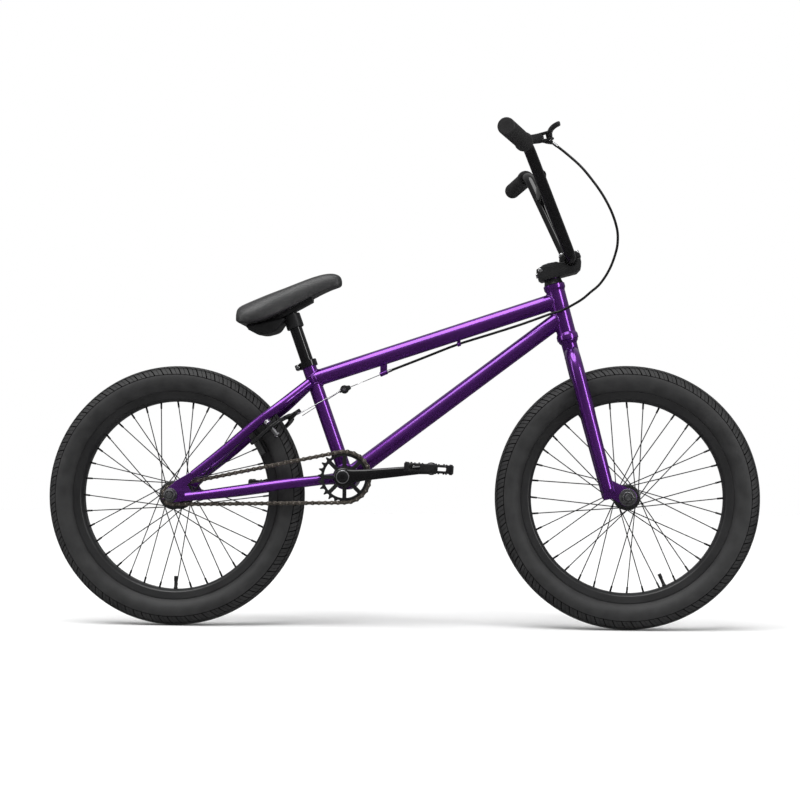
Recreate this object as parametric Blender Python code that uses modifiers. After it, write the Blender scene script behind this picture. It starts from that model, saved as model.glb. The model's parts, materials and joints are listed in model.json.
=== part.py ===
"""A 20-inch freestyle bicycle, every piece its own solid.

Metres. +X points forwards, +Y to the rider's left and +Z up. The ground is Z = 0, and the origin
lies under the middle of the wheelbase. Right-hand pieces have negative Y.
"""

import math

import bmesh
import bpy
from mathutils import Matrix, Vector
from mathutils.geometry import interpolate_bezier

# Driving dimensions
TYRE_RADIUS = 0.261
WHEELBASE = 0.9033
GAP = 0.0003  # between two pieces that meet
REAR_X = -WHEELBASE / 2
BOTTOM_BRACKET = (0.346, 0.2985)  # ahead of the rear axle, above the ground
SEAT_TUBE_ANGLE = 70.6  # degrees from the ground
HEAD_ANGLE = 75.5
STEER_FOOT = (0.8690, 0.261)  # where the steering axis passes the height of the axles
TUBE_RADIUS = 0.0165  # top tube and down tube
TUBE_WALL = 0.0015
SEAT_TUBE_RADIUS = 0.0143
SEATPOST_RADIUS = 0.0127
HEAD_TUBE_RADIUS = 0.018
STEERER_RADIUS = 0.0143
BAR_RADIUS = 0.0111
AXLE_RADIUS = 0.007
SHELL_RADIUS = 0.025
SHELL_HALF_WIDTH = 0.034
SPINDLE_RADIUS = 0.0095
FRONT_HUB_HALF = 0.050  # inside faces of the fork ends
REAR_HUB_HALF = 0.0555  # inside faces of the rear dropouts
PLATE = 0.006
RIM_OUTER = 0.2087
RIM_INNER = 0.1891
CHAIN_Y = -0.044
CHAIN_PITCH = 0.0127
SPROCKET_TEETH = 25
DRIVER_TEETH = 9
CRANK_LENGTH = 0.175
CRANK_LIFT = 5.6  # degrees that the right crank points above forwards
PEDAL_TILT = -3.7

WHEEL_STEPS = 36
TURN_STEPS = 20
TUBE_SIDES = 14

RIGHT, LEFT = -1, 1
SIDES = (("right", RIGHT), ("left", LEFT))


# Places

def at(x, y, z):
    """The point x ahead of the rear axle, y to the left of the middle and z above the ground."""
    return Vector((REAR_X + x, y, z))


def turn(degrees):
    """The direction in the side plane this many degrees above forwards."""
    angle = math.radians(degrees)
    return Vector((math.cos(angle), 0, math.sin(angle)))


ACROSS = Vector((0, 1, 0))
STEER_UP = turn(180 - HEAD_ANGLE)
STEER_FORWARD = turn(90 - HEAD_ANGLE)
STEER_ORIGIN = at(STEER_FOOT[0], 0, STEER_FOOT[1])
SEAT_UP = turn(180 - SEAT_TUBE_ANGLE)
BB = at(BOTTOM_BRACKET[0], 0, BOTTOM_BRACKET[1])
REAR_AXLE = at(0, 0, TYRE_RADIUS)
FRONT_AXLE = at(WHEELBASE, 0, TYRE_RADIUS)


def steer(along, forward, y=0.0):
    """The point this far up the steering axis, ahead of it, and to the left."""
    return STEER_ORIGIN + STEER_UP * along + STEER_FORWARD * forward + ACROSS * y


def axes(origin, x_axis, y_axis):
    """The matrix that puts local X and Y along these two directions."""
    x = Vector(x_axis).normalized()
    z = x.cross(Vector(y_axis)).normalized()
    return Matrix.Translation(origin) @ Matrix((x, z.cross(x), z)).transposed().to_4x4()


def along(origin, direction):
    """The matrix that puts local Z along this direction, with local X as near +X as it can be."""
    z = Vector(direction).normalized()
    x = Vector((1, 0, 0)) - z * z.x
    x.normalize()
    return Matrix.Translation(origin) @ Matrix((x, z.cross(x), z)).transposed().to_4x4()


def side_plane(origin):
    """Local X forwards and local Y up, so that local Z points right."""
    return axes(origin, (1, 0, 0), (0, 0, 1))


# Outlines, as lists of (x, y)

def arc(centre, radius, start, end, steps):
    """Points on an arc between two angles in degrees."""
    angles = [math.radians(start + (end - start) * i / steps) for i in range(steps + 1)]
    return [(centre[0] + radius * math.cos(a), centre[1] + radius * math.sin(a)) for a in angles]


def circle(centre, radius, steps=TURN_STEPS):
    return arc(centre, radius, 0, 360, steps)[:-1]


def grown(outline, distance):
    """A counter-clockwise outline with every corner moved outwards."""
    moved = []
    for before, here, after in zip(outline[-1:] + outline[:-1], outline, outline[1:] + outline[:1]):
        first = (Vector(here) - Vector(before)).normalized()
        second = (Vector(after) - Vector(here)).normalized()
        out = Vector((first.y + second.y, -first.x - second.x)).normalized()
        spread = max(0.3, out.dot(Vector((first.y, -first.x))))
        moved.append(tuple(Vector(here) + out * distance / spread))
    return moved


def ribbon(stations):
    """The outline of a band through (x, y, half width) stations, with a rounded tip at each end."""
    left, right = [], []
    for i, (x, y, half) in enumerate(stations):
        before = stations[max(i - 1, 0)]
        after = stations[min(i + 1, len(stations) - 1)]
        heading = Vector((after[0] - before[0], after[1] - before[1])).normalized()
        left.append((x - heading.y * half, y + heading.x * half))
        right.append((x + heading.y * half, y - heading.x * half))
        if i in (0, len(stations) - 1):
            outwards = -heading if i == 0 else heading
            tip = Vector((x, y)) + outwards * half * 0.7
            side = Vector((-heading.y, heading.x)) * half * 0.6
            first, last = (tip + side), (tip - side)
            if i == 0:
                start = [tuple(last), tuple(first)]
            else:
                end = [tuple(first), tuple(last)]
    return start + left + end + right[::-1]


def toothed(teeth, pitch_radius):
    """A sprocket's edge: narrow tips between the roller seats."""
    tip = pitch_radius + 0.003
    root = pitch_radius - 0.0036
    points = []
    for i in range(teeth):
        for part, radius in enumerate((root, tip, tip, root)):
            share = (i + (0.14, 0.40, 0.60, 0.86)[part]) / teeth
            angle = 2 * math.pi * share
            points.append((radius * math.cos(angle), radius * math.sin(angle)))
    return points


def pitch_radius(teeth):
    return CHAIN_PITCH / 2 / math.sin(math.pi / teeth)


def belt(offset):
    """The chain loop around both sprockets, this far outside its pitch line, from the rear axle."""
    big = pitch_radius(SPROCKET_TEETH) + offset
    small = pitch_radius(DRIVER_TEETH) + offset
    span = Vector((BOTTOM_BRACKET[0], BOTTOM_BRACKET[1] - TYRE_RADIUS))
    rise = math.degrees(math.atan2(span.y, span.x))
    lean = math.degrees(math.asin((big - small) / span.length))
    front = arc(span, big, rise - 90 - lean, rise + 90 + lean, 20)
    rear = arc((0, 0), small, rise + 90 + lean, rise + 270 - lean, 10)
    return front + rear


# Building objects

bpy.context.scene.unit_settings.scale_length = 1.0
for leftover in list(bpy.data.objects):
    bpy.data.objects.remove(leftover)

PARTS = bpy.data.collections.new("bmx_bike")
CUTTERS = bpy.data.collections.new("cutters")
for group in (PARTS, CUTTERS):
    bpy.context.scene.collection.children.link(group)


def material(name, color, roughness, metallic=0.0):
    paint = bpy.data.materials.new(name)
    paint.use_nodes = True
    shader = paint.node_tree.nodes["Principled BSDF"]
    shader.inputs["Base Color"].default_value = (*color, 1)
    shader.inputs["Roughness"].default_value = roughness
    shader.inputs["Metallic"].default_value = metallic
    return paint


PURPLE = material("purple_paint", (0.13, 0.10, 0.42), 0.25, 0.6)
BLACK_GLOSS = material("black_gloss", (0.012, 0.012, 0.014), 0.15)
BLACK_SATIN = material("black_satin", (0.02, 0.02, 0.022), 0.4)
RUBBER = material("tyre_rubber", (0.035, 0.035, 0.037), 0.75)
GRIP_RUBBER = material("grip_rubber", (0.04, 0.04, 0.042), 0.8)
LEATHER = material("saddle_leather", (0.02, 0.02, 0.02), 0.5)
PLASTIC = material("black_plastic", (0.025, 0.025, 0.027), 0.5)
STEEL = material("bright_steel", (0.55, 0.55, 0.56), 0.3, 1.0)
DARK_STEEL = material("dark_steel", (0.10, 0.09, 0.085), 0.4, 0.9)


def new_piece(name, data, paint, frame):
    data.materials.clear()
    data.materials.append(paint)
    piece = bpy.data.objects.new(name, data)
    piece.matrix_world = frame
    PARTS.objects.link(piece)
    return piece


def helper(piece):
    """Makes the object a cutter or a shape to join, which isn't a piece itself."""
    PARTS.objects.unlink(piece)
    CUTTERS.objects.link(piece)
    piece.hide_render = True
    piece.display_type = "WIRE"
    return piece


def change(piece, tool, operation):
    boolean = piece.modifiers.new(tool.name, "BOOLEAN")
    boolean.operation = operation
    boolean.object = helper(tool) if tool.name in PARTS.objects else tool


def cut(piece, *tools):
    for tool in tools:
        change(piece, tool, "DIFFERENCE")


def join(piece, *tools):
    for tool in tools:
        change(piece, tool, "UNION")


def turned(name, paint, profile, frame, steps=TURN_STEPS):
    """A profile of (radius, height) points turned round local Z; it ends on the axis, or is a ring."""
    following = profile[1:] + profile[:1]
    area = sum(a[0] * b[1] - b[0] * a[1] for a, b in zip(profile, following))
    if area > 0:
        profile = profile[::-1]
    count = len(profile)
    is_ring = min(radius for radius, _ in profile) > 0
    edges = [(i, (i + 1) % count) for i in range(count if is_ring else count - 1)]
    mesh = bpy.data.meshes.new(name)
    mesh.from_pydata([(radius, 0, height) for radius, height in profile], edges, [])
    piece = new_piece(name, mesh, paint, frame)
    screw = piece.modifiers.new("Turn", "SCREW")
    screw.steps = steps
    screw.render_steps = steps
    screw.use_merge_vertices = True
    screw.merge_threshold = 0.00001
    return piece


def pipe(name, paint, start, end, outer, inner=0.0, steps=TURN_STEPS):
    """A round bar or tube between two points."""
    run = Vector(end) - Vector(start)
    profile = [(inner, 0), (outer, 0), (outer, run.length), (inner, run.length)]
    return turned(name, paint, profile, along(start, run), steps)


def bar_across(name, paint, centre, inner_y, outer_y, radius, bore=0.0, steps=TURN_STEPS):
    """A round bar or tube along Y, through this point of the side plane."""
    start = Vector((centre.x, inner_y, centre.z))
    end = Vector((centre.x, outer_y, centre.z))
    return pipe(name, paint, start, end, radius, bore, steps)


def meshed(guide, paint):
    """The mesh piece that a curve object makes, in place of the curve."""
    bpy.context.view_layer.update()
    graph = bpy.context.evaluated_depsgraph_get()
    mesh = bpy.data.meshes.new_from_object(guide.evaluated_get(graph))
    work = bmesh.new()
    work.from_mesh(mesh)
    bmesh.ops.remove_doubles(work, verts=work.verts, dist=0.00001)
    bmesh.ops.recalc_face_normals(work, faces=work.faces)
    work.to_mesh(mesh)
    work.free()
    frame = guide.matrix_world.copy()
    name = guide.name
    bpy.data.objects.remove(guide)
    return new_piece(name, mesh, paint, frame)


def swept(name, paint, route, sides=TUBE_SIDES):
    """A round bar along (x, y, z, radius) points."""
    widest = max(point[3] for point in route)
    curve = bpy.data.curves.new(name, "CURVE")
    curve.dimensions = "3D"
    curve.bevel_depth = widest
    curve.bevel_resolution = (sides - 4) // 2
    curve.use_fill_caps = True
    spline = curve.splines.new("POLY")
    spline.points.add(len(route) - 1)
    for place, point in zip(spline.points, route):
        place.co = (*point[:3], 1)
        place.radius = point[3] / widest
    return meshed(new_piece(name, curve, paint, Matrix.Identity(4)), paint)


def smooth(stations, spacing):
    """Points about this far apart on a smooth curve through (x, y, z, radius) stations."""
    knots = [(Vector(station[:3]), station[3]) for station in stations]
    padded = [knots[0], *knots, knots[-1]]
    route = [tuple(stations[0])]
    for before, (start, radius), (end, next_radius), after in zip(padded, padded[1:], padded[2:], padded[3:]):
        reach = (end - start).length / 3
        leave = start + (end - before[0]).normalized() * reach
        arrive = end - (after[0] - start).normalized() * reach
        count = max(2, round((end - start).length / spacing) + 1)
        for i, point in enumerate(interpolate_bezier(start, leave, arrive, end, count)[1:], 1):
            share = i / (count - 1)
            route.append((*point, radius + (next_radius - radius) * share))
    return route


def bent(corners, bends, radius, steps=5):
    """Straight runs between the corners, with an arc of the given bend radius at each inner one."""
    route = [corners[0]]
    for before, corner, after, bend in zip(corners, corners[1:], corners[2:], bends):
        back = (before - corner).normalized()
        ahead = (after - corner).normalized()
        turning = math.pi - back.angle(ahead)
        reach = bend * math.tan(turning / 2)
        handle = reach - bend * math.tan(turning / 4) * 4 / 3
        route += interpolate_bezier(
            corner + back * reach, corner + back * handle, corner + ahead * handle, corner + ahead * reach, steps
        )
    route.append(corners[-1])
    return [(*point, radius) for point in route]


def prism(name, paint, outlines, thickness, frame):
    """Flat outlines, the first the edge and the others holes, made this thick about local Z = 0."""
    curve = bpy.data.curves.new(name, "CURVE")
    curve.dimensions = "2D"
    curve.fill_mode = "BOTH"
    curve.extrude = thickness / 2
    for outline in outlines:
        spline = curve.splines.new("POLY")
        spline.points.add(len(outline) - 1)
        spline.use_cyclic_u = True
        for place, point in zip(spline.points, outline):
            place.co = (point[0], point[1], 0, 1)
    return meshed(new_piece(name, curve, paint, frame), paint)


def box(name, paint, size, frame):
    """A block of this size centred on the frame."""
    work = bmesh.new()
    bmesh.ops.create_cube(work, size=1)
    bmesh.ops.scale(work, vec=size, verts=work.verts)
    mesh = bpy.data.meshes.new(name)
    work.to_mesh(mesh)
    work.free()
    return new_piece(name, mesh, paint, frame)


def rounded(piece, width, segments=2):
    """Rounds the piece's sharp edges."""
    bevel = piece.modifiers.new("Round", "BEVEL")
    bevel.width = width
    bevel.segments = segments
    bevel.limit_method = "ANGLE"
    bevel.angle_limit = math.radians(50)
    return piece


def loft(name, paint, rings, levels):
    """A soft form through rings of equally many points, smoothed by subdivision."""
    work = bmesh.new()
    loops = [[work.verts.new(point) for point in ring] for ring in rings]
    for first, second in zip(loops, loops[1:]):
        for i in range(len(first)):
            j = (i + 1) % len(first)
            work.faces.new((first[i], first[j], second[j], second[i]))
    work.faces.new(loops[0][::-1])
    work.faces.new(loops[-1])
    bmesh.ops.recalc_face_normals(work, faces=work.faces)
    mesh = bpy.data.meshes.new(name)
    work.to_mesh(mesh)
    work.free()
    piece = new_piece(name, mesh, paint, Matrix.Identity(4))
    soft = piece.modifiers.new("Soften", "SUBSURF")
    soft.levels = levels
    soft.render_levels = levels
    return piece


# Frame tubes. Each is mitred against the tubes that it meets.

HEAD_LOW, HEAD_HIGH = 0.3234, 0.4374  # along the steering axis
BEARING_OUTER, BEARING_BORE = 0.0186, STEERER_RADIUS + GAP
SEAT_TUBE_TOP = 0.245  # along the seat tube from the bottom bracket
TOP_TUBE_REAR, TOP_TUBE_FRONT = at(0.2770, 0, 0.4950), at(0.7675, 0, 0.6537)
DOWN_TUBE_FRONT = at(0.7760, 0, 0.6200)
CABLE_STOP = at(0.4190, 0, 0.5074)
HANGER = at(0.3400, 0, 0.4749)
WIRE_RUN = (CABLE_STOP - HANGER).normalized()
CABLE_GUIDE, GUIDE_RUN = at(0.5700, 0, 0.5658), (at(0.5840, 0, 0.5706) - at(0.5560, 0, 0.5610)).normalized()


def head_tube():
    bore = BEARING_OUTER + GAP
    seat = 0.0085
    profile = [
        (0.0215, HEAD_LOW), (0.0215, 0.333), (HEAD_TUBE_RADIUS, 0.341), (HEAD_TUBE_RADIUS, 0.421),
        (0.0215, 0.429), (0.0215, 0.4325), (0.0202, HEAD_HIGH), (bore, HEAD_HIGH),
        (bore, HEAD_HIGH - seat), (0.016, HEAD_HIGH - seat), (0.016, HEAD_LOW + seat),
        (bore, HEAD_LOW + seat), (bore, HEAD_LOW),
    ]
    turned("head_tube", PURPLE, profile, along(STEER_ORIGIN, STEER_UP))


def tube_mitre(name, start, end, radius):
    return pipe(name, PURPLE, start, end, radius + 2 * GAP, steps=24)


def seat_tube_place(distance):
    return BB + SEAT_UP * distance


def main_tubes():
    head = tube_mitre("head_mitre", steer(0.25, 0), steer(0.50, 0), HEAD_TUBE_RADIUS + 0.0035)
    seat = tube_mitre("seat_mitre", seat_tube_place(-0.02), seat_tube_place(0.30), SEAT_TUBE_RADIUS)
    shell = tube_mitre("shell_mitre", BB - ACROSS * 0.06, BB + ACROSS * 0.06, SHELL_RADIUS)

    inner = TUBE_RADIUS - TUBE_WALL
    top = pipe("top_tube", PURPLE, TOP_TUBE_REAR, TOP_TUBE_FRONT, TUBE_RADIUS, inner)
    stop = pipe("stop_barrel", PURPLE, CABLE_STOP - WIRE_RUN * 0.008, CABLE_STOP + WIRE_RUN * 0.008, 0.0046)
    web = prism(
        "stop_web", PURPLE,
        [[(-0.007, 0.001), (0.007, 0.006), (0.007, 0.0185), (-0.007, 0.0165)]],
        0.003, side_plane(CABLE_STOP),
    )
    wire_hole = pipe("stop_hole", PURPLE, CABLE_STOP - WIRE_RUN * 0.02, CABLE_STOP + WIRE_RUN * 0.02, 0.0014)
    loop = pipe("guide_loop", PURPLE, CABLE_GUIDE - GUIDE_RUN * 0.0035, CABLE_GUIDE + GUIDE_RUN * 0.0035, 0.0046)
    loop_web = prism(
        "guide_web", PURPLE, [[(-0.0035, 0.0035), (0.0035, 0.0040), (0.0035, 0.0105), (-0.0035, 0.0090)]],
        0.003, side_plane(CABLE_GUIDE),
    )
    loop_hole = pipe("guide_hole", PURPLE, CABLE_GUIDE - GUIDE_RUN * 0.02, CABLE_GUIDE + GUIDE_RUN * 0.02, 0.0031)
    join(top, web, stop)
    join(top, loop_web, loop)
    cut(top, wire_hole, loop_hole, seat, head)

    down = pipe("down_tube", PURPLE, BB, DOWN_TUBE_FRONT, TUBE_RADIUS, inner)
    top_mitre = tube_mitre("top_mitre", TOP_TUBE_REAR, TOP_TUBE_FRONT, TUBE_RADIUS)
    cut(down, shell, seat, head, top_mitre)

    seat_tube = pipe(
        "seat_tube", PURPLE, BB, seat_tube_place(SEAT_TUBE_TOP), SEAT_TUBE_RADIUS, SEATPOST_RADIUS + GAP
    )
    cut(seat_tube, shell)
    return shell, seat


def bottom_bracket():
    bearing_outer = 0.0206
    bore = bearing_outer + GAP
    seat = 0.026
    profile = [
        (SHELL_RADIUS, -SHELL_HALF_WIDTH), (SHELL_RADIUS, SHELL_HALF_WIDTH), (bore, SHELL_HALF_WIDTH),
        (bore, seat), (0.0185, seat), (0.0185, -seat), (bore, -seat), (bore, -SHELL_HALF_WIDTH),
    ]
    turned("bb_shell", PURPLE, profile, along(BB, ACROSS), steps=24)
    for side, y in SIDES:
        bar_across(
            f"bb_bearing_{side}", STEEL, BB, y * (seat + GAP), y * (SHELL_HALF_WIDTH - 0.0005),
            bearing_outer, SPINDLE_RADIUS + GAP,
        )


# Rear triangle

STAY_Y = 0.0585  # middle of the dropout plate
SEAT_STAY = (
    (0.0443, STAY_Y, 0.3019, 0.008), (0.1079, 0.0530, 0.3526, 0.0095), (0.1664, 0.0470, 0.4029, 0.0095),
    (0.2134, 0.0430, 0.4387, 0.0095), (0.2420, 0.0290, 0.4630, 0.0095), (0.2698, 0.0140, 0.4870, 0.0095),
)
CHAIN_STAY = (
    (0.0300, STAY_Y, 0.2575, 0.0085), (0.1106, 0.0530, 0.2676, 0.0105), (0.1877, 0.0480, 0.2787, 0.011),
    (0.2350, 0.0435, 0.2855, 0.0105), (0.2915, 0.0308, 0.2920, 0.0095), (0.3300, 0.0240, 0.2965, 0.0095),
)
DROPOUT = (  # millimetres from the axle, forwards and up, from the top of the slot round to its bottom
    (48.9, 51.1), (10.7, 28.9), (-10.7, 9.1),
)
DROPOUT_FRONT = ((6.6, -14.0), (37.0, -10.7), (51.0, -5.5), (50.0, 4.5), (41.0, 8.2), (33.0, 20.6), (55.1, 43.3))
SLOT_RADIUS = AXLE_RADIUS + GAP
SLOT_LIP = 0.014

BRAKE_UP = turn(39)  # along the seat stays
BRAKE_OUT = turn(39 - 90)  # from the stays towards the seat tube
BRAKE_PIVOT_Y = 0.0455
BRAKE_PIVOT = 0.2395  # from the rear axle, along the stays
BOSS_RADIUS = 0.005


def brake_place(y, up, out):
    return REAR_AXLE + ACROSS * y + BRAKE_UP * up + BRAKE_OUT * out


def mirrored_route(stations, side):
    placed = [(*at(x, y * side, z), radius) for x, y, z, radius in stations]
    return smooth(placed, 0.03)


def dropout_outlines():
    """The plate's edge without its slot, and with it."""
    whole = [(x / 1000, y / 1000) for x, y in DROPOUT_FRONT + DROPOUT]
    lip = arc((0, 0), SLOT_LIP, 211.4, 290, 5)
    slot = [(-0.012, SLOT_RADIUS)] + arc((0, 0), SLOT_RADIUS, 90, -90, 10) + [(-0.012, -SLOT_RADIUS)]
    return whole + arc((0, 0), SLOT_LIP, 150, 285, 6), whole + slot + lip


def rear_triangle(shell_mitre, seat_mitre):
    plain, slotted = dropout_outlines()
    for side, y in SIDES:
        frame = side_plane(at(0, y * STAY_Y, TYRE_RADIUS))
        prism(f"dropout_{side}", PURPLE, [slotted], PLATE, frame)
        clearance = prism(f"plate_slot_{side}", PURPLE, [grown(plain, GAP)], PLATE + 2 * GAP, frame)

        chain_stay = swept(f"chainstay_{side}", PURPLE, mirrored_route(CHAIN_STAY, y))
        cut(chain_stay, clearance, shell_mitre)

        seat_stay = swept(f"seatstay_{side}", PURPLE, mirrored_route(SEAT_STAY, y))
        boss = pipe(
            f"brake_boss_{side}", STEEL,
            brake_place(y * BRAKE_PIVOT_Y, BRAKE_PIVOT, -0.004), brake_place(y * BRAKE_PIVOT_Y, BRAKE_PIVOT, 0.0365),
            BOSS_RADIUS, steps=16,
        )
        join(seat_stay, boss)
        cut(seat_stay, clearance, seat_mitre)


def seat_clamp():
    height = 0.013
    lip = 0.002
    base = SEAT_TUBE_TOP - height + lip + GAP
    frame = along(seat_tube_place(base), SEAT_UP)
    bore, post_bore = SEAT_TUBE_RADIUS + GAP, SEATPOST_RADIUS + GAP
    collar = turned(
        "seat_clamp", BLACK_GLOSS,
        [(0.0185, 0), (0.0185, height), (post_bore, height), (post_bore, height - lip), (bore, height - lip), (bore, 0)],
        frame,
    )
    back = seat_tube_place(base + height / 2) + SEAT_UP.cross(ACROSS) * 0.0215
    ear = rounded(box("clamp_ear", BLACK_GLOSS, (0.010, 0.020, 0.011), along(back, SEAT_UP)), 0.002)
    join(collar, ear)


# Steering

def headset():
    height = 0.0065
    low = along(steer(HEAD_LOW + 0.001, 0), STEER_UP)
    high = along(steer(HEAD_HIGH - 0.001 - height, 0), STEER_UP)
    ring = [(BEARING_OUTER, 0), (BEARING_OUTER, height), (BEARING_BORE, height), (BEARING_BORE, 0)]
    turned("headset_bearing_lower", STEEL, ring, low)
    turned("headset_bearing_upper", STEEL, ring, high)
    cap = [
        (0.0193, HEAD_HIGH + 0.0004), (0.0165, 0.4481), (BEARING_BORE, 0.4481), (BEARING_BORE, HEAD_HIGH + 0.0004),
    ]
    turned("headset_dust_cap", BLACK_SATIN, cap, along(STEER_ORIGIN, STEER_UP))


FORK_LEG = (  # along the steering axis, out from the middle, radius
    (-0.003, 0.0555, 0.012), (0.055, 0.0548, 0.0125), (0.125, 0.0520, 0.0135), (0.195, 0.0482, 0.0145),
    (0.235, 0.0465, 0.0148), (0.262, 0.0430, 0.0148), (0.281, 0.0350, 0.0148), (0.2915, 0.0220, 0.0148),
    (0.2945, 0.0090, 0.0148),
)
FORK_END_REACH, FORK_END_RISE = 0.0332, -0.0086  # the front axle from the steering foot


def fork_end_outline():
    """Forwards and up the steering axis from the front axle; the slot opens downwards."""
    edge = arc((0, 0), 0.018, -66, 75, 8)
    inside_leg = [(-0.0207, 0.0397), (-0.032, 0.044), (-0.032, 0.010), (-0.0226, -0.003)]
    lip = arc((0, 0), 0.018, 200, 246, 3)
    return edge + inside_leg + lip + arc((0, 0), SLOT_RADIUS, 180, 0, 10)


def fork():
    legs = [(*steer(s, 0, -y), radius) for s, y, radius in FORK_LEG]
    legs += [(*steer(s, 0, y), radius) for s, y, radius in reversed(FORK_LEG)]
    piece = swept("fork", PURPLE, smooth(legs, 0.032))
    profile = [
        (0, 0.290), (0.0156, 0.290), (0.0158, 0.318), (0.0195, 0.3215), (0.0195, HEAD_LOW - 0.0004),
        (STEERER_RADIUS, HEAD_LOW - 0.0004), (STEERER_RADIUS, 0.473), (0, 0.473),
    ]
    join(piece, turned("steerer", PURPLE, profile, along(STEER_ORIGIN, STEER_UP)))
    for side, y in SIDES:
        slant = (STEER_UP * -1 + ACROSS * y * 1.15).normalized()
        trim = box(f"leg_trim_{side}", PURPLE, (0.07, 0.07, 0.05), along(steer(0.0035, 0, y * 0.0555) + slant * 0.025, slant))
        cut(piece, trim)
    for side, y in SIDES:
        frame = axes(steer(FORK_END_RISE, FORK_END_REACH, y * (FRONT_HUB_HALF + 0.0025)), STEER_FORWARD, STEER_UP)
        join(piece, prism(f"fork_end_{side}", PURPLE, [fork_end_outline()], 0.005, frame))


STEM_HALF_WIDTH = 0.025
BAR_ALONG, BAR_FORWARD = 0.475, 0.0438  # the handlebar in the stem
SPLIT = 0.0003  # half the gap between the stem and its cap


def stem():
    bore = BAR_RADIUS + GAP
    frame = axes(STEER_ORIGIN, STEER_FORWARD, STEER_UP)
    edge = math.degrees(math.asin(SPLIT / bore))
    bar = (BAR_FORWARD, BAR_ALONG)
    body = [
        (-0.022, 0.4488), (0.050, 0.4488), (0.0600, 0.455), (0.0635, 0.466), (0.0635, BAR_ALONG - SPLIT),
        *arc(bar, bore, -edge, -180 + edge, 12),
        (0.0225, BAR_ALONG - SPLIT), (0.015, 0.479), (-0.010, 0.479), (-0.027, 0.473), (-0.027, 0.4535),
    ]
    cap = [
        (0.0655, BAR_ALONG + SPLIT), (0.0645, 0.484), (0.054, 0.4905), (0.033, 0.4905), (0.0230, 0.485),
        (0.0225, BAR_ALONG + SPLIT), *arc(bar, bore, 180 - edge, edge, 12),
    ]
    stem_body = prism("stem_body", BLACK_SATIN, [body], 2 * STEM_HALF_WIDTH, frame)
    cut(stem_body, pipe("steerer_bore", BLACK_SATIN, steer(0.43, 0), steer(0.50, 0), STEERER_RADIUS + GAP))
    prism("stem_cap", BLACK_SATIN, [cap], 2 * STEM_HALF_WIDTH, frame)


GRIP_INNER = Vector((0.7019, 0.2046, 0.9331))
GRIP_OUTER = Vector((0.6703, 0.3575, 0.9331))
CROSSBAR = (0.7332, 0.1447, 0.8805)


def handlebar():
    grip_run = (GRIP_OUTER - GRIP_INNER) / (GRIP_OUTER.y - GRIP_INNER.y)
    end = GRIP_OUTER - grip_run * 0.0035
    upper_bend = GRIP_INNER - grip_run * 0.0293
    half = [at(*end), at(*upper_bend), steer(BAR_ALONG, BAR_FORWARD, 0.0582)]
    mirror = [Vector((point.x, -point.y, point.z)) for point in half]
    route = bent(half + mirror[::-1], (0.038, 0.045, 0.045, 0.038), BAR_RADIUS)
    bar = swept("handlebar", BLACK_GLOSS, route)
    x, y, z = CROSSBAR
    join(bar, pipe("crossbar", BLACK_GLOSS, at(x, -y, z), at(x, y, z), 0.0095, steps=16))


def grip(side, y):
    inner = at(GRIP_INNER.x, y * GRIP_INNER.y, GRIP_INNER.z)
    outer = at(GRIP_OUTER.x, y * GRIP_OUTER.y, GRIP_OUTER.z)
    length = (outer - inner).length
    bore = BAR_RADIUS + GAP
    flange, body, closed_end = 0.0185, 0.0165, 0.003
    profile = [
        (0, length), (0.0145, length), (body, length - closed_end), (body, 0.006), (flange, 0.004), (flange, 0),
        (bore, 0), (bore, length - closed_end), (0, length - closed_end),
    ]
    turned(f"grip_{side}", GRIP_RUBBER, profile, along(inner, outer - inner))


# Brake lever, on the right grip's inner side

BAR_AXIS = (at(GRIP_OUTER.x, -GRIP_OUTER.y, 0) - at(GRIP_INNER.x, -GRIP_INNER.y, 0)).normalized()
LEVER_RISE = math.radians(12)
LEVER_REACH = (BAR_AXIS.cross(Vector((0, 0, -1))).normalized() * math.cos(LEVER_RISE)
               + Vector((0, 0, 1)) * math.sin(LEVER_RISE))
LEVER_PIN = at(0.7487, -0.200, 0.9455)
LEVER_CLAMP = at(0.7029, -0.200, 0.9331)
PIN_RADIUS = 0.0026


def lever_clamp():
    ring = pipe(
        "lever_clamp", BLACK_SATIN, LEVER_CLAMP - BAR_AXIS * 0.0035, LEVER_CLAMP - BAR_AXIS * -0.0035, 0.0155
    )
    pin_frame = axes(LEVER_PIN, BAR_AXIS, LEVER_REACH)
    block = [
        (0.0062, -0.040), (0.0124, -0.040), (0.0124, -0.033), (0.008, -0.020), (0.008, 0.004), (0.004, 0.008),
        (-0.004, 0.008), (-0.008, 0.004), (-0.008, -0.022),
    ]
    body = rounded(prism("lever_body", BLACK_SATIN, [block], 0.0165, pin_frame), 0.002)
    slot = box("lever_slot", BLACK_SATIN, (0.030, 0.030, 0.0106), pin_frame @ Matrix.Translation((0, 0.004, 0)))
    pin_up = LEVER_REACH.cross(BAR_AXIS)
    pin = pipe("lever_pin", STEEL, LEVER_PIN - pin_up * 0.0075, LEVER_PIN + pin_up * 0.0075, PIN_RADIUS, steps=16)
    adjuster_start = LEVER_PIN + BAR_AXIS * -0.005 + LEVER_REACH * -0.016 - BAR_AXIS.cross(LEVER_REACH) * 0.005
    adjuster = pipe("lever_adjuster", BLACK_SATIN, adjuster_start, at(0.7555, -0.1868, 0.9350), 0.0042, steps=12)
    join(ring, body)
    cut(ring, slot)
    join(ring, pin, adjuster)
    cut(ring, pipe(
        "bar_hole", BLACK_SATIN, LEVER_CLAMP - BAR_AXIS * 0.03, LEVER_CLAMP + BAR_AXIS * 0.03, BAR_RADIUS + GAP
    ))


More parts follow.
